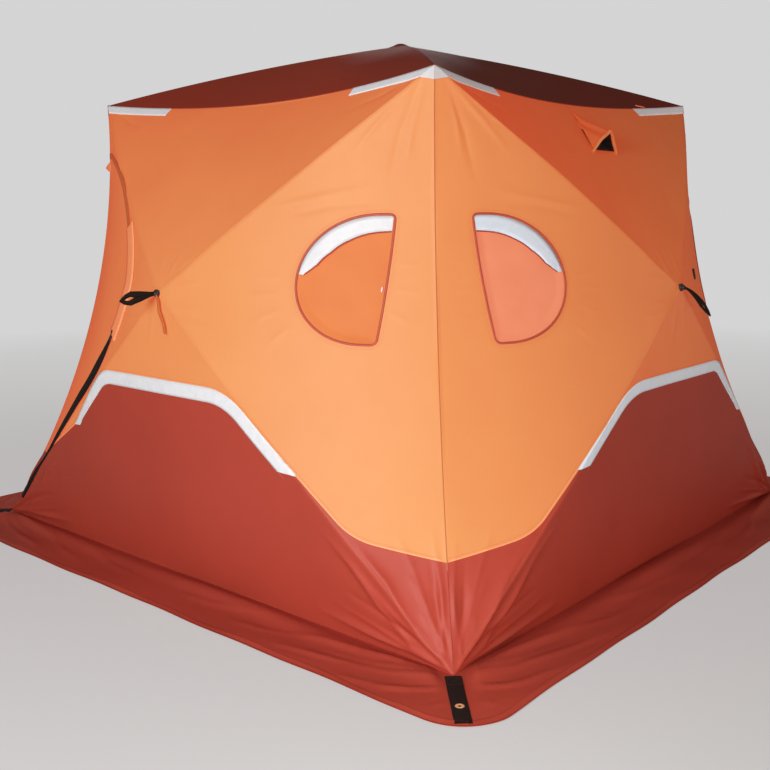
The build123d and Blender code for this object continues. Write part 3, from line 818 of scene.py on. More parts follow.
def wall_cord(line, turn, wide, tall, lift=0.0, closed=False):
    """A flattened cord lying on the wall along a line of its elevation."""
    at, up = wall_point(line, turn, lift)
    return tube(turned(at, turn), turned(up, turn), wide, tall, closed=closed)


def wall_stitches(lines, turn, lift=0.0):
    """Rows of stitches on the wall along lines of its elevation."""
    rows = []
    for line in lines:
        at, up = wall_point(along(line, STITCH_PATH_STEP), turn, lift)
        rows += stitches(turned(at, turn), turned(up, turn))
    return joined(rows)


def pad(place, across, out, width, length, thick, pinch=1.0):
    """A small rounded tab: its length runs along across x out, its lower half narrowed by pinch."""
    across, out = unit(np.array(across, float)), unit(np.array(out, float))
    down = np.cross(across, out)
    turns = np.linspace(0, 2 * math.pi, PAD_SIDES, endpoint=False)
    x, y = (np.sign(way) * np.abs(way) ** PAD_SQUARENESS / 2 for way in (np.cos(turns), np.sin(turns)))
    x, y = x * width * np.interp(y, (-0.5, 0.5), (1, pinch)), y * length
    rings = []
    for size, height in PAD_RINGS:
        rings.append(place + np.outer(x * size, across) + np.outer(y * size, down) + out * thick * height)
    n, last = PAD_SIDES, len(PAD_RINGS) - 1
    faces = grid_faces(last + 1, n)
    faces += [(i * n + n - 1, (i + 1) * n + n - 1, (i + 1) * n, i * n) for i in range(last)]
    faces += [tuple(range(n)), tuple(range((last + 1) * n - 1, last * n - 1, -1))]
    return np.concatenate(rings), faces


def wall_pad(xz, turn, width, length, thick, lift=0.0, pinch=1.0):
    """A small tab lying on the wall, hanging straight down."""
    at, up = wall_point(np.array([xz]), turn, lift)
    return pad(turned(at, turn)[0], turned(ACROSS, turn), turned(up, turn)[0], width, length, thick, pinch)


# Walls

PANE_SINK, PANE_SINK_REACH, PANE_LAP = 0.005, 0.03, 0.001


def side_name(side):
    return "right" if side == 1 else "left"


def fabric_pieces(turn, wall):
    """The stretched panels of one wall, cut along its band, windows and door from one continuous sheet."""
    sides = (1,) if has_door(turn) else (1, -1)
    whole = wall_sheet(turn, FINE_ROWS if turn < 2 else PLAIN_ROWS)
    low = clip(whole, in_band(whole[1], turn))
    high = clip(whole, -in_band(whole[1], turn))
    panes = []
    for side in sides:
        panes.append(clip(high, in_window(high[1], side)))
        high = clip(high, -in_window(high[1], side))
    if has_door(turn):
        door_high, high = cut_door(high)
        door_low, low = cut_door(low)
        door = sheet_piece(f"{wall}_door_panel", door_high, turn, orange_cloth)
        foot = sheet_piece(f"{wall}_door_foot", door_low, turn, red_cloth)
        declare(keep(door, "wall_fabric", f"{wall}_door"), door_high)
        declare(keep(foot, "lower_fabric"), door_low)
    upper = sheet_piece(f"{wall}_fabric", high, turn, orange_cloth)
    keep(upper, "wall_fabric", *(f"{wall}_wall_{panel}" for panel in ("top", "right", "left", "centre")))
    declare(upper, high, window_trim(turn, wall, sides))
    lower = sheet_piece(f"{wall}_lower_fabric", low, turn, red_cloth)
    keep(lower, "lower_fabric", f"{wall}_wall_band")
    declare(lower, low, band_trim(turn, wall))
    for side, (points, xz, faces) in zip(sides, panes):
        sink = PANE_SINK * smooth(0.0, PANE_SINK_REACH, in_window(xz, side)) + PANE_LAP
        pane = (points - wall_point(xz, turn)[1] * sink[:, None], xz, faces)
        glass = pane_film if has_door(turn) else pane_film_pale
        glazing = sheet_piece(f"{wall}_pane_{side_name(side)}", pane, turn, glass)
        keep(glazing, "window_film", *([f"{wall}_windows"] if side == 1 else []))
        declare(glazing, pane)


CLOTH_STITCH_LIFT, SEAM_STITCH_LIFT, TAPE_STITCH_LIFT = 0.0004, 0.0012, 0.0022
# Half width, half height and lift of the cord round a window.
WINDOW_PIPING = (0.0040, 0.0026, 0.001)
CROWN_DEGREES, CROWN_END, CROWN_STEP = (176, 90), 0.006, 0.006
WINDOW_TAPE_SHARES = ((0, 0.05, 0.13, 0.35, 0.6, 1), (0.10, 0.17, 0.25, 0.31, 0.31, 0.26))
WINDOW_TAPE_SHORT, WINDOW_TAPE_SINK = 0.002, 0.001
WINDOW_RIM_OVER, WINDOW_RIM_WIDE = 0.001, 0.003
WINDOW_STITCH_REACHES = (0.009, 0.014)
# Tabs on a wall are given by width, length, thickness, lift and pinch.
WINDOW_PULL, WINDOW_PULL_IN, WINDOW_PULL_Z = (0.007, 0.020, 0.002, 0.0, 0.7), 0.012, 1.098


def window_trim(turn, wall, sides):
    """Piping, reflective tape and stitching round the windows of one wall."""
    pieces = []
    for side in sides:
        tag = f"{wall}_{side_name(side)}_window"
        piping = wall_cord(window_outline(side), turn, *WINDOW_PIPING, closed=True)
        pieces.append(lay(f"{tag}_piping", piping, window_cord, "lower_fabric"))
        crown = oval_points(np.radians(np.linspace(*CROWN_DEGREES, 60)))
        crown_end = (WINDOW_SIDE - CROWN_END, WINDOW_Z + WINDOW_HALF)
        crown = along(np.concatenate((crown, [crown_end])), CROWN_STEP)
        widths = np.interp(np.linspace(0, 1, len(crown)), *WINDOW_TAPE_SHARES) * WINDOW_HALF
        if side == -1:
            crown, widths = (crown * (-1, 1))[::-1], widths[::-1]
        band = ribbon(crown, -WINDOW_TAPE_SHORT, widths, turn, lift=-WINDOW_TAPE_SINK)
        pieces.append(lay(f"{tag}_tape", band, tape_pane if has_door(turn) else tape_pane_cool_painted_light, "webbing"))
        rim = ribbon(crown, WINDOW_RIM_OVER - widths, widths + WINDOW_RIM_WIDE, turn, lift=0.0, across=2)
        pieces.append(lay(f"{tag}_tape_edge", rim, piping_cloth, "lower_fabric"))
        rows = [window_outline(side, grow) for grow in WINDOW_STITCH_REACHES]
        thread = wall_stitches(rows, turn, CLOTH_STITCH_LIFT)
        pieces.append(lay(f"{tag}_stitches", thread, thread_orange, "wall_fabric"))
        if has_door(turn):
            pull = wall_pad((side * (WINDOW_SIDE - WINDOW_PULL_IN), WINDOW_PULL_Z), turn, *WINDOW_PULL)
            pieces.append(lay(f"{tag}_pull", pull, tape_white, "zip_tape"))
    return pieces


TAPE_WIDTH, TAPE_SLIM = 0.05, 0.040
TAPE_LAP, TAPE_STAND = 0.003, 0.0018
TAPE_NARROWING, TAPE_END_Z = 0.55, 0.508
BAND_LEAN, BAND_SEAM_REACH = 1.36, 1.14
BAND_SEAM_WIDE, BAND_SEAM_LIFT = 0.006, 0.0008
BAND_STITCH_REACHES = (0.004, 0.009)
BARE_ENDS = slice(4, -4)


def band_trim(turn, wall):
    """Reflective tape over the lower band's hump, narrowed along one arm, and the seam along its edge."""
    line = along(band_line(turn))
    hump = line[line[:, 1] > TAPE_END_Z]
    arm, full, finish = hump[:, 0], TAPE_SLIM, tape_cool_painted_light
    if has_door(turn):
        arm, full, finish = -arm, TAPE_WIDTH, tape_white
    widths = full * (1 - TAPE_NARROWING * smooth(BAND_NEAR[0][0], arm.max(), arm))
    tape = ribbon(hump, TAPE_LAP, widths, turn, lift=TAPE_STAND, lean=BAND_LEAN, across=6)
    pieces = [lay(f"{wall}_hump_tape", tape, finish, "webbing")]
    inside = line[np.abs(line[:, 0]) < BAND_SEAM_REACH]
    seam = ribbon(inside, BAND_SEAM_WIDE, 0.0, turn, lift=BAND_SEAM_LIFT)
    pieces.append(lay(f"{wall}_band_seam", seam, flap_cloth, "wall_fabric"))
    thread = wall_stitches([sideways(inside, reach) for reach in BAND_STITCH_REACHES], turn, SEAM_STITCH_LIFT)
    pieces.append(lay(f"{wall}_band_stitches", thread, thread_orange, "wall_fabric"))
    rows = [sideways(hump, reach)[BARE_ENDS] for reach in (-TAPE_LAP, TAPE_LAP - widths)]
    thread = wall_stitches(rows, turn, TAPE_STITCH_LIFT)
    pieces.append(lay(f"{wall}_tape_stitches", thread, thread_pale, "webbing"))
    return pieces


EAVE_TAPE_SHARE, EAVE_TAPE_WIDTH_SHARE, EAVE_TAPE_SLANT = 0.215, 0.048, 0.016
EAVE_EDGE_SHARE, EAVE_EDGE_LIFT = 0.9985, 0.0004
EAVE_WRAP_SHARE, EAVE_WRAP_LIFT = 0.024, 0.002
EAVE_TAPE_STEPS, EAVE_WRAP_STEPS = 40, 12


def eave_tape(turn, wall):
    """Reflective tape under both ends of the eave, its upper edge longer, wrapped round the corner."""
    parts, wraps = [], []
    reach = np.linspace(0, 1, EAVE_TAPE_STEPS)
    shares = np.concatenate(([0], np.linspace(0, 1, 6), [1]))
    for flip in (False, True):
        rows = []
        for k, share in enumerate(shares):
            v = reach * (EAVE_TAPE_SHARE - EAVE_TAPE_SLANT * (1 - share))
            u = np.full(EAVE_TAPE_STEPS, EAVE_EDGE_SHARE - EAVE_TAPE_WIDTH_SHARE * (1 - share))
            flat = gore_point(GORES["top"], u, 1 - v if flip else v)[:, [0, 2]]
            lift = EAVE_EDGE_LIFT if k in (0, len(shares) - 1) else TAPE_STAND
            rows.append(wall_point(flat, turn, lift)[0])
        parts.append((turned(np.concatenate(rows), turn), grid_faces(len(rows), EAVE_TAPE_STEPS)))
        gore = GORES["left" if flip else "right"]
        rows = []
        for share in shares[1:-1]:
            u = np.linspace(1 - EAVE_TAPE_WIDTH_SHARE * (1 - share), 1, EAVE_WRAP_STEPS)
            v = np.full(EAVE_WRAP_STEPS, 1 - EAVE_WRAP_SHARE * share if flip else EAVE_WRAP_SHARE * share)
            rows.append(gore_point(gore, u, v) + gore_normal(gore, u, v) * EAVE_WRAP_LIFT)
        wraps.append((turned(np.concatenate(rows), turn), grid_faces(len(rows), EAVE_WRAP_STEPS)))
    lay(f"{wall}_eave_tape", joined(parts), tape_eave_painted_glow, "webbing")
    lay(f"{wall}_eave_tape_wrap", joined(wraps), tape_painted_shade, "webbing")


SEAM_SHARES, SEAM_STITCH_REACH = (0.03, 0.98), 0.006
SEAM_CORD, SEAM_SPLIT_Z = 0.0015, 0.27
EAVE_BINDING_WIDE, EAVE_BINDING_TALL = 0.003, 0.002
EAVE_OUT = np.array((0.0, -0.6, 0.8))


def seams(turn, wall):
    """Stitching along the wall's pole seams, the bound seam at its right-hand corner and the eave binding."""
    hub = HUB[[0, 2]]
    rows = []
    for corner in CORNERS:
        start, end = (hub * (1 - share) + corner[[0, 2]] * share for share in SEAM_SHARES)
        spoke = np.linspace(start, end, 60)
        rows += [sideways(spoke, SEAM_STITCH_REACH), sideways(spoke, -SEAM_STITCH_REACH)]
    thread = wall_stitches(rows, turn, CLOTH_STITCH_LIFT)
    lay(f"{wall}_seam_stitches", thread, thread_orange, "wall_fabric")
    corner = gore_point(GORES["right"], np.ones(220), np.linspace(0, 1, 220))
    upper = corner[:, 2] > SEAM_SPLIT_Z
    for name, part, finish, slot in (
        ("upper", upper, seam_cloth, "wall_fabric"),
        ("lower", ~upper, piping_cloth, "lower_fabric"),
    ):
        cord = tube(turned(corner[part], turn), turned(RIGHT_OUT, turn), SEAM_CORD, SEAM_CORD, sides=6)
        lay(f"{wall}_corner_seam_{name}", cord, finish, slot)
    eave = gore_point(GORES["top"], np.ones(160), np.linspace(0, 1, 160))
    cord = tube(turned(eave, turn), turned(EAVE_OUT, turn), EAVE_BINDING_WIDE, EAVE_BINDING_TALL, sides=6)
    lay(f"{wall}_eave_binding", cord, piping_cloth, "roof_fabric")


ZIP_OPEN_Z, ZIP_OPEN_EASE = 0.905, 0.01
ZIP_WIDE_Z, ZIP_WIDE_LOW_Z, ZIP_CLOSED_Z = 0.74, 0.50, 0.26
ZIP_OPEN_LEFT, ZIP_OPEN_RIGHT = 0.016, 0.022
ZIP_TAIL, ZIP_LAP, ZIP_LIFT = 0.020, 0.002, 0.0025
FLAP_TOP_Z, FLAP_LAP, COVER_LAP = 1.29, 0.012, 0.02
# Reaches of the flap and the cover to the left and right of the zip.
FLAP_REACHES, FLAP_LIFT, FLAP_EDGE = (0.058, 0.016), 0.005, 0.0035
COVER_REACHES, COVER_LIFT, COVER_EDGE = (0.021, 0.002), 0.004, 0.002
TEETH_REACH, TEETH_LIFT = 0.010, 0.0027
TOOTH = {"length": 0.0022, "gap": 0.0012, "wide": 0.003, "lift": 0.0014}
SLIDER, SLIDER_TAB = (0.012, 0.018, 0.006, 0.001, 0.7), (0.009, 0.034, 0.002, 0.004, 0.8)
SLIDER_TAB_OFF = (0.004, 0.024)


def door_trim(turn, wall):
    """Zip, storm flap, cover strip, teeth and slider of one door."""
    tail = DOOR_LINE[-1] + unit(DOOR_LINE[-1] - DOOR_LINE[-2]) * ZIP_TAIL
    line = along(np.concatenate((DOOR_LINE, [tail])))
    z = line[:, 1]
    gape = smooth(ZIP_OPEN_Z + ZIP_OPEN_EASE, ZIP_WIDE_Z, z) * smooth(ZIP_CLOSED_Z, ZIP_WIDE_LOW_Z, z)
    left, right = ZIP_WIDTH + ZIP_LAP + ZIP_OPEN_LEFT * gape, ZIP_LAP + ZIP_OPEN_RIGHT * gape
    tape = ribbon(line, left, right, turn, lift=ZIP_LIFT, across=10)
    first = wall == "front"
    lay(f"{wall}_zip_tape", tape, zip_tape, "zip_tape", *(["door_zips"] if first else []))
    covered = line[(z > ZIP_OPEN_Z - FLAP_LAP) & (z < FLAP_TOP_Z)]
    flap = ribbon(covered, *FLAP_REACHES, turn, lift=FLAP_LIFT, thick=FLAP_EDGE)
    lay(f"{wall}_storm_flap", flap, flap_cloth, "wall_fabric", *(["door_flaps"] if first else []))
    cover = ribbon(line[z > FLAP_TOP_Z - COVER_LAP], *COVER_REACHES, turn, lift=COVER_LIFT, thick=COVER_EDGE)
    lay(f"{wall}_zip_cover", cover, seam_cloth, "wall_fabric")
    bare = sideways(line, TEETH_REACH)[z < ZIP_OPEN_Z]
    at, up = wall_point(along(bare, STITCH_PATH_STEP), turn, TEETH_LIFT)
    teeth = stitches(turned(at, turn), turned(up, turn), **TOOTH)
    lay(f"{wall}_zip_teeth", joined(teeth), black_plastic, "moulding")
    slider = wall_pad(bare[0], turn, *SLIDER)
    tab = wall_pad(bare[0] - SLIDER_TAB_OFF, turn, *SLIDER_TAB)
    lay(f"{wall}_zip_slider", joined((slider, tab)), black_plastic, "moulding")


VENT_SILL_SHARE, VENT_PEAK_SHARE = 0.70, 0.962
VENT_HALF, VENT_RISE, VENT_STANDOFF, VENT_SINK = 0.097, 0.049, 0.068, 0.010
VENT_TIP_LIFT, VENT_SAG, VENT_BINDING = 0.003, 0.004, 0.007
VENT_ARCH, VENT_RIPPLE = 0.42, 0.03
VENT_WING_POWER, VENT_HEIGHT_POWER = 1.1, 1.35
VENT_SHADE_MIDDLE, VENT_SHADE_SHARE = 0.3, 0.955
VENT_NET_HALF, VENT_NET_TAPER, VENT_NET_Z, VENT_NET_RISE, VENT_NET_LIFT = 0.080, 0.42, 1.566, 0.080, 0.003


def vent_hood(turn, wall):
    """A pointed fabric hood over the vent: orange outside, a black sheet just inside it as painted shade,
    bound mouth and netting behind.
    """
    sill, peak = (gore_point(GORES["top"], share, 0.5) for share in (VENT_SILL_SHARE, VENT_PEAK_SHARE))
    rise = unit(peak - sill)
    out = np.cross(ACROSS, rise)
    root, tip = sill - out * VENT_SINK, peak + out * VENT_TIP_LIFT
    lean = rise * VENT_RISE + out * (VENT_STANDOFF + VENT_SINK)
    s = np.linspace(-1, 1, 41)
    height = (1 - np.abs(s)) * (1 + VENT_ARCH * np.abs(s)) + VENT_RIPPLE * np.sin(3 * np.pi * s)
    mouth = root + np.outer(s * VENT_HALF, ACROSS) + np.outer(height, lean)
    steps = np.linspace(0, 1, 30)[:, None, None]
    sag = VENT_SAG * np.sin(np.pi * steps) * np.sin(9 * s[None, :, None] + 5 * steps)
    spine = root * (1 - steps) + tip * steps
    wings = (s * VENT_HALF)[None, :, None] * (1 - steps) ** VENT_WING_POWER * ACROSS
    hood = spine + wings + height[None, :, None] * (1 - steps) ** VENT_HEIGHT_POWER * lean + sag * out
    faces = grid_faces(len(steps), len(s))
    stood_for = ["vent_hoods"] if turn == 1 else []
    lay(f"{wall}_hood", (turned(hood.reshape(-1, 3), turn), faces), hood_cloth, "wall_fabric", *stood_for)
    # Painted shade: a black sheet a little inside the hood cloth, where the hood's inside lies in shade.
    middle = root + lean * VENT_SHADE_MIDDLE
    shade_sheet = turned((middle + (hood - middle) * VENT_SHADE_SHARE).reshape(-1, 3), turn)
    lay(f"{wall}_hood_painted_shade", (shade_sheet, [face[::-1] for face in faces]), black_net, "moulding")
    binding = tube(turned(mouth, turn), turned(unit(lean), turn), VENT_BINDING, VENT_BINDING)
    lay(f"{wall}_hood_binding", binding, orange_cloth, "wall_fabric")
    x, z = np.meshgrid(np.linspace(-1, 1, 12), np.linspace(0, 1, 8))
    x, z = x * VENT_NET_HALF * (1 - VENT_NET_TAPER * z), VENT_NET_Z + VENT_NET_RISE * z
    net, _ = wall_point(np.stack((x.ravel(), z.ravel()), 1), turn, VENT_NET_LIFT)
    lay(f"{wall}_vent_net", (turned(net, turn), grid_faces(*x.shape)), black_net, "moulding")


# Ground skirt

SKIRT_COLUMNS, SKIRT_ROWS, HEM_ROWS = 300, 38, 8
SKIRT_WANDER, SKIRT_PHASE = 0.004, 2.1
SKIRT_LIFT, SKIRT_THICK = 0.0032, 0.0022
RIDGE_RISE, RIDGE_OFF, RIDGE_WIDE, RIDGE_VARIATION = 0.015, 0.055, 0.042, 0.35
SLOW_WAVE, QUICK_WAVE, WAVE_FLAT = 0.0026, 0.0010, (0.02, 0.1)
STRAP_CLEAR, STRAP_WAVE_SHARE = (0.03, 0.075), 0.35
CORNER_CLEAR, PLEAT_DEEPEST = (0.02, 0.07), -0.002
APRON_SHARE, HEM_SHARES, HEM_STITCH_SHARE, HEM_RISE = 0.9, (0.912, 0.93), 0.925, 0.0016
SKIRT_FOLDS = (
    (((1.25, 0.01), (1.00, 0.06), (0.72, 0.10)), 0.016, 0.0090),
    (((1.27, 0.04), (1.12, 0.11), (0.90, 0.17), (0.70, 0.20)), 0.018, 0.0080),
    (((1.30, 0.08), (1.22, 0.16), (1.12, 0.21)), 0.013, 0.0065),
    (((1.26, 0.02), (1.12, 0.05), (0.98, 0.055)), 0.012, 0.0050),
    (((1.36, 0.13), (1.33, 0.20)), 0.012, 0.0045),
    (((1.24, 0.03), (1.05, 0.10), (0.86, 0.13)), 0.010, 0.0050),
    (((1.29, 0.10), (1.17, 0.18), (1.00, 0.225)), 0.011, 0.0055),
    (((1.02, 0.14), (0.88, 0.19), (0.70, 0.215)), 0.012, -0.0030),
    (((0.80, 0.09), (0.60, 0.15), (0.42, 0.17)), 0.016, 0.0040),
    (((0.55, 0.06), (0.30, 0.12), (0.05, 0.14)), 0.018, 0.0035),
    (((1.33, 0.06), (1.40, 0.10), (1.45, 0.12)), 0.010, 0.0035),
)


def skirt(turn, wall):
    """Ground skirt of one side: a soft ridge at the crease, flat apron, gathered corners, doubled hem."""
    columns, rows = SKIRT_COLUMNS, SKIRT_ROWS
    even = np.linspace(-1, 1, columns)
    t = (even + np.sin(even * math.pi / 2)) / 2
    half = BASE_HALF + SKIRT_WIDTH
    flat_half = half - SKIRT_ROUND
    straight = flat_half / half
    angle = np.clip((np.abs(t) - straight) / (1 - straight), 0, 1) * math.pi / 4
    on_side = np.abs(t) < straight
    outer_x = np.sign(t) * np.where(on_side, np.abs(t) * half, flat_half + SKIRT_ROUND * np.sin(angle))
    outer_y = np.where(on_side, -half, -flat_half - SKIRT_ROUND * np.cos(angle))
    outer_y += SKIRT_WANDER * np.sin(17 * t + 1.3 * turn) * np.sin(7 * t + turn) * smooth(1.0, 0.9, np.abs(t))
    inner_half = BASE_HALF - SKIRT_TUCK
    inner_x, inner_y = t * inner_half, np.full(columns, -inner_half)
    apron_rows = np.linspace(0, APRON_SHARE, rows - HEM_ROWS)
    w = np.concatenate((apron_rows, np.linspace(HEM_SHARES[0], 1, HEM_ROWS)))[:, None]
    x, y = inner_x * (1 - w) + outer_x * w, inner_y * (1 - w) + outer_y * w
    size = SKIRT_WIDTH + SKIRT_TUCK
    off = w * size - SKIRT_TUCK
    corner = np.hypot(np.abs(x) - BASE_HALF, y + BASE_HALF)
    clear = smooth(*STRAP_CLEAR, np.abs(np.abs(x) + y) / math.sqrt(2))
    phase = SKIRT_PHASE * turn
    ridge = RIDGE_RISE * np.exp(-(((off - RIDGE_OFF) / RIDGE_WIDE) ** 2))
    ridge = ridge * (1 + RIDGE_VARIATION * np.sin(5 * x + phase))
    waves = SLOW_WAVE * (1 + np.sin(8 * x + 9 * off + phase))
    waves = (waves + QUICK_WAVE * (1 + np.sin(19 * x - 15 * off + 2 * phase))) * smooth(*WAVE_FLAT, off)
    waves *= (STRAP_WAVE_SHARE + (1 - STRAP_WAVE_SHARE) * clear) * smooth(1.0, APRON_SHARE, w)
    plan = np.stack((np.abs(x), -y - BASE_HALF), -1).reshape(-1, 2)
    pleats = sum(fold(plan, *one, k + phase) for k, one in enumerate(SKIRT_FOLDS)).reshape(x.shape)
    pleats = np.maximum(pleats, PLEAT_DEEPEST) * smooth(*CORNER_CLEAR, corner)
    top = SKIRT_LIFT + (ridge + pleats) * clear + waves + HEM_RISE * smooth(*HEM_SHARES, w)
    points = np.stack((x, y, top), -1)
    under = points - SKIRT_THICK * UP
    faces = [face[::-1] for face in grid_faces(rows, columns)]
    count = rows * columns
    faces += [tuple(i + count for i in face[::-1]) for face in faces]
    places = np.arange(count).reshape(rows, columns)
    rim = [*places[0], *places[1:, -1], *places[-1, -2::-1], *places[-2:0:-1, 0]]
    faces += [(a, b, b + count, a + count) for a, b in zip(rim, rim[1:] + rim[:1])]
    mesh = turned(np.concatenate((points.reshape(-1, 3), under.reshape(-1, 3))), turn)
    weave = np.stack(np.broadcast_arrays(x, off), -1).reshape(-1, 2)
    made = (mesh, faces, np.concatenate((weave, weave)))
    apron = lay(f"{wall}_ground_skirt", made, skirt_cloth, "skirt_fabric", f"{wall}_skirt")
    edge = points[int(np.argmin(np.abs(w[:, 0] - HEM_STITCH_SHARE))), 2:-2]
    thread = stitches(turned(edge + CLOTH_STITCH_LIFT * UP, turn), UP)
    hem_row = lay(f"{wall}_hem_stitches", joined(thread), thread_dark, "skirt_fabric")


# Straps and small fittings

STRAP_SECTION = ((-1, -1), (-1, 0.2), (-0.92, 1), (0, 1), (0.92, 1), (1, 0.2), (1, -1), (0, -1))


def strap_strip(path, across, width, thick, twist=0.0):
    """A webbing strap along a path, square in section, with its weave places."""
    tangent = unit(np.gradient(path, axis=0))
    across = unit(across - tangent * (across * tangent).sum(1, keepdims=True))
    up = np.cross(tangent, across)
    c, s = math.cos(twist), math.sin(twist)
    across, up = across * c + up * s, up * c - across * s
    run = run_of(path)
    half = np.broadcast_to(np.asarray(width, float) / 2, len(path))
    rows, weave = [], []
    for a, b in STRAP_SECTION:
        rows.append(path + across * (a * half)[:, None] + up * (b * thick / 2))
        weave.append(np.stack((run, a * half), 1))
    count = len(path)
    faces = grid_faces(len(rows), count, closed=True)
    faces.append(tuple(i * count for i in range(len(rows))))
    faces.append(tuple(i * count + count - 1 for i in range(len(rows) - 1, -1, -1)))
    return np.concatenate(rows), faces, np.concatenate(weave)


STRAP_ROOT, STRAP_TIP = np.array((1.270, -1.276, 0.0)), np.array((1.457, -1.475, 0.0))
STRAP_WIDTH, STRAP_LIFT, STRAP_THICK, STRAP_WAVE = 0.05, 0.0052, 0.0026, 0.0005
EYELET_REACH, EYELET_RADIUS, EYELET_WIDE, EYELET_TALL = 0.180, 0.009, 0.0048, 0.0013
# The sewn box on a strap: its near and far end along the strap, its half width, and its lift.
BOX_NEAR, BOX_FAR, BOX_HALF, BOX_STEP, BOX_LIFT = 0.012, 0.055, 0.02, 0.004, 0.0014


def anchor_straps():
    """Anchor webbing at each corner, sewn over the skirt, with a brass eyelet, a little off the diagonal."""
    ahead = unit(STRAP_TIP - STRAP_ROOT)
    aside = np.cross(UP, ahead)
    reach = np.linspace(0.0, np.linalg.norm(STRAP_TIP - STRAP_ROOT), 60)
    rise = STRAP_LIFT + STRAP_WAVE * np.sin(40 * reach)
    path = STRAP_ROOT + np.outer(reach, ahead) + np.outer(rise, UP)
    points, faces, weave = strap_strip(path, aside, STRAP_WIDTH, STRAP_THICK)
    parts = [(turned(points, turn), faces, weave) for turn in range(4)]
    lay("anchor_webbing", joined(parts), black_webbing, "webbing", "anchor_straps")
    a, b = (BOX_NEAR, -BOX_HALF), (BOX_NEAR, BOX_HALF)
    c, d = (BOX_FAR, BOX_HALF), (BOX_FAR, -BOX_HALF)
    box = along((a, b, c, d, a, c, d, b), BOX_STEP)
    height = np.interp(box[:, 0], reach, rise) + BOX_LIFT
    line = STRAP_ROOT + np.outer(box[:, 0], ahead) + np.outer(box[:, 1], aside) + np.outer(height, UP)
    rows = []
    for turn in range(4):
        rows += stitches(turned(line, turn), UP)
    lay("anchor_stitches", joined(rows), thread_grey, "webbing")
    turns = np.linspace(0, 2 * math.pi, 41)
    middle = STRAP_ROOT + ahead * EYELET_REACH + UP * (STRAP_LIFT + STRAP_THICK / 2)
    ring = middle + EYELET_RADIUS * np.stack((np.cos(turns), np.sin(turns), 0 * turns), 1)
    rings = []
    for turn in range(4):
        rings.append(tube(turned(ring, turn), UP, EYELET_WIDE, EYELET_TALL, sides=12, closed=True))
    lay("anchor_eyelets", joined(rings), brass, "grommet_brass", "grommets")


# Each hub's strap as its length, droop, twist and width.
PULL_HANGS = (
    (0.142, 0.018, 1.45, 0.050),
    (0.108, 0.098, 0.25, 0.036),
    (0.138, 0.03, 1.2, 0.046),
    (0.120, 0.08, 0.5, 0.040),
)
PULL_OUTLINE = ((0, 0.15, 0.45, 0.70, 0.86, 1), (0.28, 0.36, 0.74, 1, 0.66, 0.08))
PULL_ROOT_Y, PULL_THICK, PULL_SWAY, PULL_DROOP_POWER = -1.346, 0.0044, 0.004, 1.4
PULL_SLIT, PULL_SLIT_FROM, PULL_SLIT_SHARE = 0.011, 0.60, 0.28
RIVET_RADIUS = 0.008
RIVET_LINE = np.array(((0, -1.336, HUB[2]), (0, -1.342, HUB[2]), (0, -1.350, HUB[2] - 0.001)))


def pull_straps():
    """Doubled webbing straps at the hubs: narrow at the rivet, full before the tip, each hung its own way."""
    strips, rivets = [], []
    t = np.linspace(0, 1, 60)
    outline = np.interp(t, *PULL_OUTLINE)
    slit = PULL_SLIT * np.sin(np.pi * np.clip((t - PULL_SLIT_FROM) / PULL_SLIT_SHARE, 0, 1))
    for turn, (length, droop, twist, wide) in enumerate(PULL_HANGS):
        hang = HUB[2] - droop * t**PULL_DROOP_POWER
        middle = np.stack((PULL_SWAY * np.sin(5 * t), PULL_ROOT_Y - length * t, hang), 1)
        across = np.array((math.cos(twist), 0.0, math.sin(twist)))
        for side in (1, -1):
            path = middle + np.outer(side * (wide * outline + slit) / 4, across)
            points, faces, weave = strap_strip(path, ACROSS, (wide * outline - slit) / 2, PULL_THICK, twist)
            strips.append((turned(points, turn), faces, weave))
        rivets.append(tube(turned(RIVET_LINE, turn), UP, RIVET_RADIUS, RIVET_RADIUS, sides=14))
    lay("pull_webbing", joined(strips), black_webbing, "webbing", "pull_straps")
    lay("pull_rivets", joined(rivets), black_plastic, "moulding")


HUB_STRIP_TOP, HUB_STRIP_RUN = np.array((0.004, -1.343, 1.062)), np.array((0.045, 0.0, -0.135))
HUB_STRIP_SWAY, HUB_STRIP_BOW, HUB_STRIP_WIDE, HUB_STRIP_THICK = 0.003, 0.004, 0.0055, 0.0012
TOGGLE, TOGGLE_AT = (0.012, 0.046, 0.006, 0.0, 0.8), (0.272, 1.098)
# Tabs at the seams as their way across, way out, width, length, thickness and pinch.
CORNER_TAB = ((0, 0, -1.0), (-0.4, -1.0, 0), 0.05, 0.095, 0.003, 0.12)
CORNER_TAB_SHARE, CORNER_TAB_OFF = 0.855, (0.006, -0.012, 0)
EAVE_TAB = ((0, 1.0, 0), (0.35, 0, 1.0), 0.07, 0.03, 0.003, 0.7)
EAVE_TAB_SHARE, EAVE_TAB_OFF = 0.83, (-0.012, 0, 0.008)


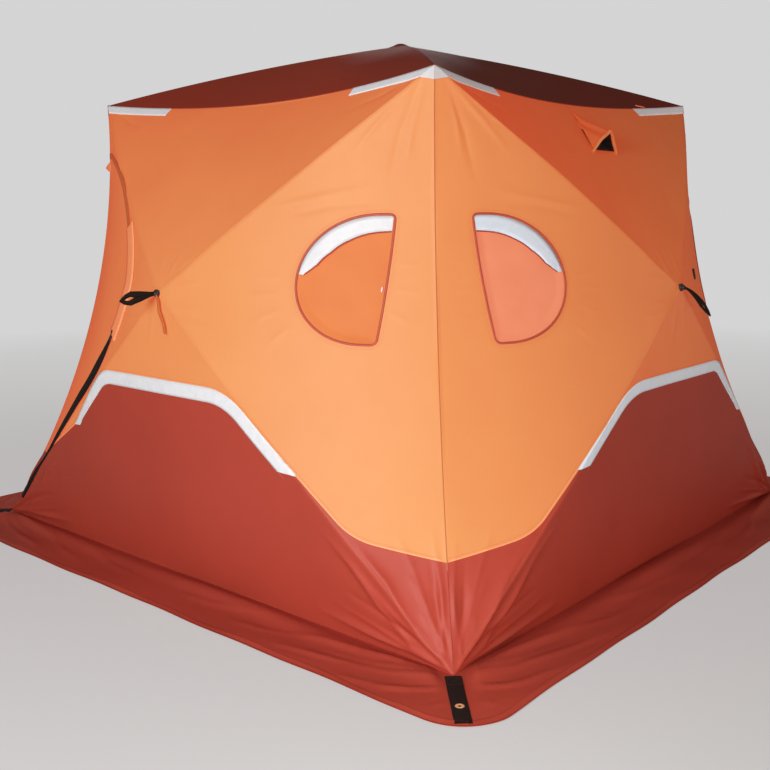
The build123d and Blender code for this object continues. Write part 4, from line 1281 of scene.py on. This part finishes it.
def small_fittings():
    """A thin dark orange strip running down from the front hub, the toggle by the right hub and the cloth
    tabs at two seams.
    """
    t = np.linspace(0, 1, 30)
    sway = np.stack((HUB_STRIP_SWAY * np.sin(11 * t), -HUB_STRIP_BOW * np.sin(3 * t), 0 * t), 1)
    tail = HUB_STRIP_TOP + np.outer(t, HUB_STRIP_RUN) + sway
    lay("hub_strip", tube(tail, (0.0, -1.0, 0.0), HUB_STRIP_WIDE, HUB_STRIP_THICK), hub_strip_cloth, "wall_fabric")
    lay("wall_toggle", wall_pad(TOGGLE_AT, 1, *TOGGLE), black_plastic, "moulding")
    seam = gore_point(GORES["left"], 1.0, CORNER_TAB_SHARE)
    lay("corner_tab", pad(seam + CORNER_TAB_OFF, *CORNER_TAB), flap_cloth, "wall_fabric")
    eave = turned(gore_point(GORES["top"], 1.0, EAVE_TAB_SHARE), 1)
    lay("eave_tab", pad(eave + EAVE_TAB_OFF, *EAVE_TAB), flap_cloth, "wall_fabric")


for turn, wall in enumerate(WALLS):
    fabric_pieces(turn, wall)
    eave_tape(turn, wall)
    seams(turn, wall)
    skirt(turn, wall)
    if has_door(turn):
        door_trim(turn, wall)
    else:
        vent_hood(turn, wall)
anchor_straps()
pull_straps()
small_fittings()


# Roof

ROOF_WAVE = 0.003
COVER_RADII = (0.0, 0.008, 0.016, 0.024, 0.034, 0.050, 0.066)
COVER_HEIGHTS = (2.0606, 2.0605, 2.0598, 2.0565, 2.0512, 2.0452, 2.0388)

u, v, grid = triangle_grid(ROOF_ROWS)
flat = gore_point(ROOF_GORE, u, v)
calm = smooth(0, 0.08, 1 - u) * smooth(0, 0.05, u) * smooth(0, 0.15, v) * smooth(0, 0.15, 1 - v)
gores = []
for turn in range(4):
    wave = ROOF_WAVE * np.sin(6 * flat[:, 0] + turn) * np.sin(7 * flat[:, 1] + 2 * turn) * calm
    gores.append((turned(flat + np.outer(wave, UP), turn), turned(flat, turn)[:, :2], grid))
roof = stacked(*gores)
roof_piece = sheet_piece("roof_fabric", roof, 0, roof_cloth)
keep(roof_piece, "roof_fabric", *(f"roof_{wall}_gore" for wall in WALLS))
turns = np.linspace(0, 2 * math.pi, 33)
rings = [np.outer(COVER_RADII, way(turns)) for way in (np.cos, np.sin)]
cover = np.stack((*rings, np.outer(COVER_HEIGHTS, np.ones(33))), -1).reshape(-1, 3)
hub_cover = lay("roof_hub_cover", (cover, grid_faces(len(COVER_RADII), 33)), roof_cloth, "roof_fabric")
declare(roof_piece, roof, [hub_cover])


# Carried-over solids

FINISHES = {
    "wall_poles": fibreglass,
    "roof_poles": fibreglass,
    "wall_hubs": black_plastic,
    "roof_hub": black_plastic,
    "top_fittings": black_plastic,
    "foot_fittings": black_plastic,
}
for node, finish in FINISHES.items():
    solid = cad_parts[node]
    solid.data.materials.clear()
    solid.data.materials.append(finish)


# Stage, light and camera

FLOOR_HALF, FLOOR_Z, FLOOR_GREY = 40, -0.001, 0.62
FLOOR_FADE = (2.4, 8.0, 0.6, 1.0)
BACKDROP_LEVEL, ROOM_LEVEL, ROOM_TINT = 0.66, 0.16, (1.0, 0.70, 0.58, 1)

paint = Paint("floor_paint", 0.95, 0.0)
fill(paint.bsdf, {"Base Color": (FLOOR_GREY, FLOOR_GREY, FLOOR_GREY, 1)})
even = paint.add("Emission", Strength=BACKDROP_LEVEL)
rays = paint.add("LightPath")
reach = paint.add("VectorMath", operation="LENGTH")
paint.link(paint.place.outputs["Object"], reach.inputs[0])
even_share = paint.add("Math", operation="MULTIPLY")
paint.link(rays.outputs["Is Camera Ray"], even_share.inputs[0])
paint.map_range(reach.outputs["Value"], dict(zip(RANGE_SOCKETS, FLOOR_FADE)), even_share.inputs[1])
blend = paint.add("MixShader")
paint.link(even_share.outputs[0], blend.inputs["Fac"])
paint.link(paint.bsdf.outputs["BSDF"], blend.inputs[1])
paint.link(even.outputs["Emission"], blend.inputs[2])
paint.link(blend.outputs["Shader"], paint.nodes["Material Output"].inputs["Surface"])
floor_corners = [(x * FLOOR_HALF, y * FLOOR_HALF, FLOOR_Z) for x, y in ((-1, -1), (1, -1), (1, 1), (-1, 1))]
floor = mesh_piece("floor", floor_corners, [(0, 1, 2, 3)], paint.material)

world = bpy.data.worlds.new("studio")
world.use_nodes = True
bpy.context.scene.world = world
nodes, links = world.node_tree.nodes, world.node_tree.links
background = nodes["Background"]
tint = nodes.new("ShaderNodeMix")
tint.data_type = "RGBA"
tint.inputs["A"].default_value = ROOM_TINT
tint.inputs["B"].default_value = (1, 1, 1, 1)
level = fill(nodes.new("ShaderNodeMapRange"), {"To Min": ROOM_LEVEL, "To Max": BACKDROP_LEVEL})
rays = nodes.new("ShaderNodeLightPath")
links.new(rays.outputs["Is Camera Ray"], level.inputs["Value"])
links.new(rays.outputs["Is Camera Ray"], tint.inputs["Factor"])
links.new(tint.outputs["Result"], background.inputs["Color"])
links.new(level.outputs["Result"], background.inputs["Strength"])


def stand(name, data, place, x, y, z):
    """Put a light or camera at a place, with its own axes."""
    holder = bpy.data.objects.new(name, data)
    holder.matrix_world = Matrix([(x[k], y[k], z[k], place[k]) for k in range(3)] + [(0, 0, 0, 1)])
    bpy.context.scene.collection.objects.link(holder)
    return holder


def area_light(name, place, target, size, power, colour=(1, 1, 1)):
    lamp = bpy.data.lights.new(name, "AREA")
    lamp.color = colour
    lamp.shape = "DISK"
    lamp.size = size
    lamp.energy = power
    z = unit(np.array(place) - np.array(target))
    x = unit(np.cross(UP, z))
    stand(name, lamp, place, x, np.cross(z, x), z).visible_camera = False


area_light("key", (1.45, -5.0, 1.9), (0.3, -0.8, 0.9), 1.7, 132)
area_light("low_fill", (5.0, -2.6, 0.5), (1.1, 0.0, 0.9), 1.5, 58, (1.0, 0.72, 0.60))
area_light("rim", (4.4, 3.4, 1.2), (1.2, 0.3, 1.0), 1.6, 24, (1.0, 0.78, 0.68))
area_light("back_fill", (-3.6, 4.2, 2.4), (-0.3, 0.4, 0.9), 2.4, 120)
area_light("corner_fill", (2.25, -2.5, 0.55), (1.2, -1.2, 0.15), 0.7, 12)

CAMERA_AT = (2.9203, -3.4585, 1.3529)
CAMERA_YAW, CAMERA_PITCH, CAMERA_ROLL = map(math.radians, (41.154, 9.9757, -0.3515))
CAMERA_LENS, CAMERA_SENSOR = 46.639, 36
camera_data = bpy.data.cameras.new("camera")
camera_data.sensor_width = CAMERA_SENSOR
camera_data.lens = CAMERA_LENS
right = np.array((math.cos(CAMERA_YAW), math.sin(CAMERA_YAW), 0))
ahead = np.cross(UP, right) * math.cos(CAMERA_PITCH) - UP * math.sin(CAMERA_PITCH)
up = np.cross(right, ahead)
tilted_right = right * math.cos(CAMERA_ROLL) + up * math.sin(CAMERA_ROLL)
tilted_up = up * math.cos(CAMERA_ROLL) - right * math.sin(CAMERA_ROLL)
bpy.context.scene.camera = stand("camera", camera_data, CAMERA_AT, tilted_right, tilted_up, -ahead)

bpy.context.scene.view_settings.view_transform = "Standard"
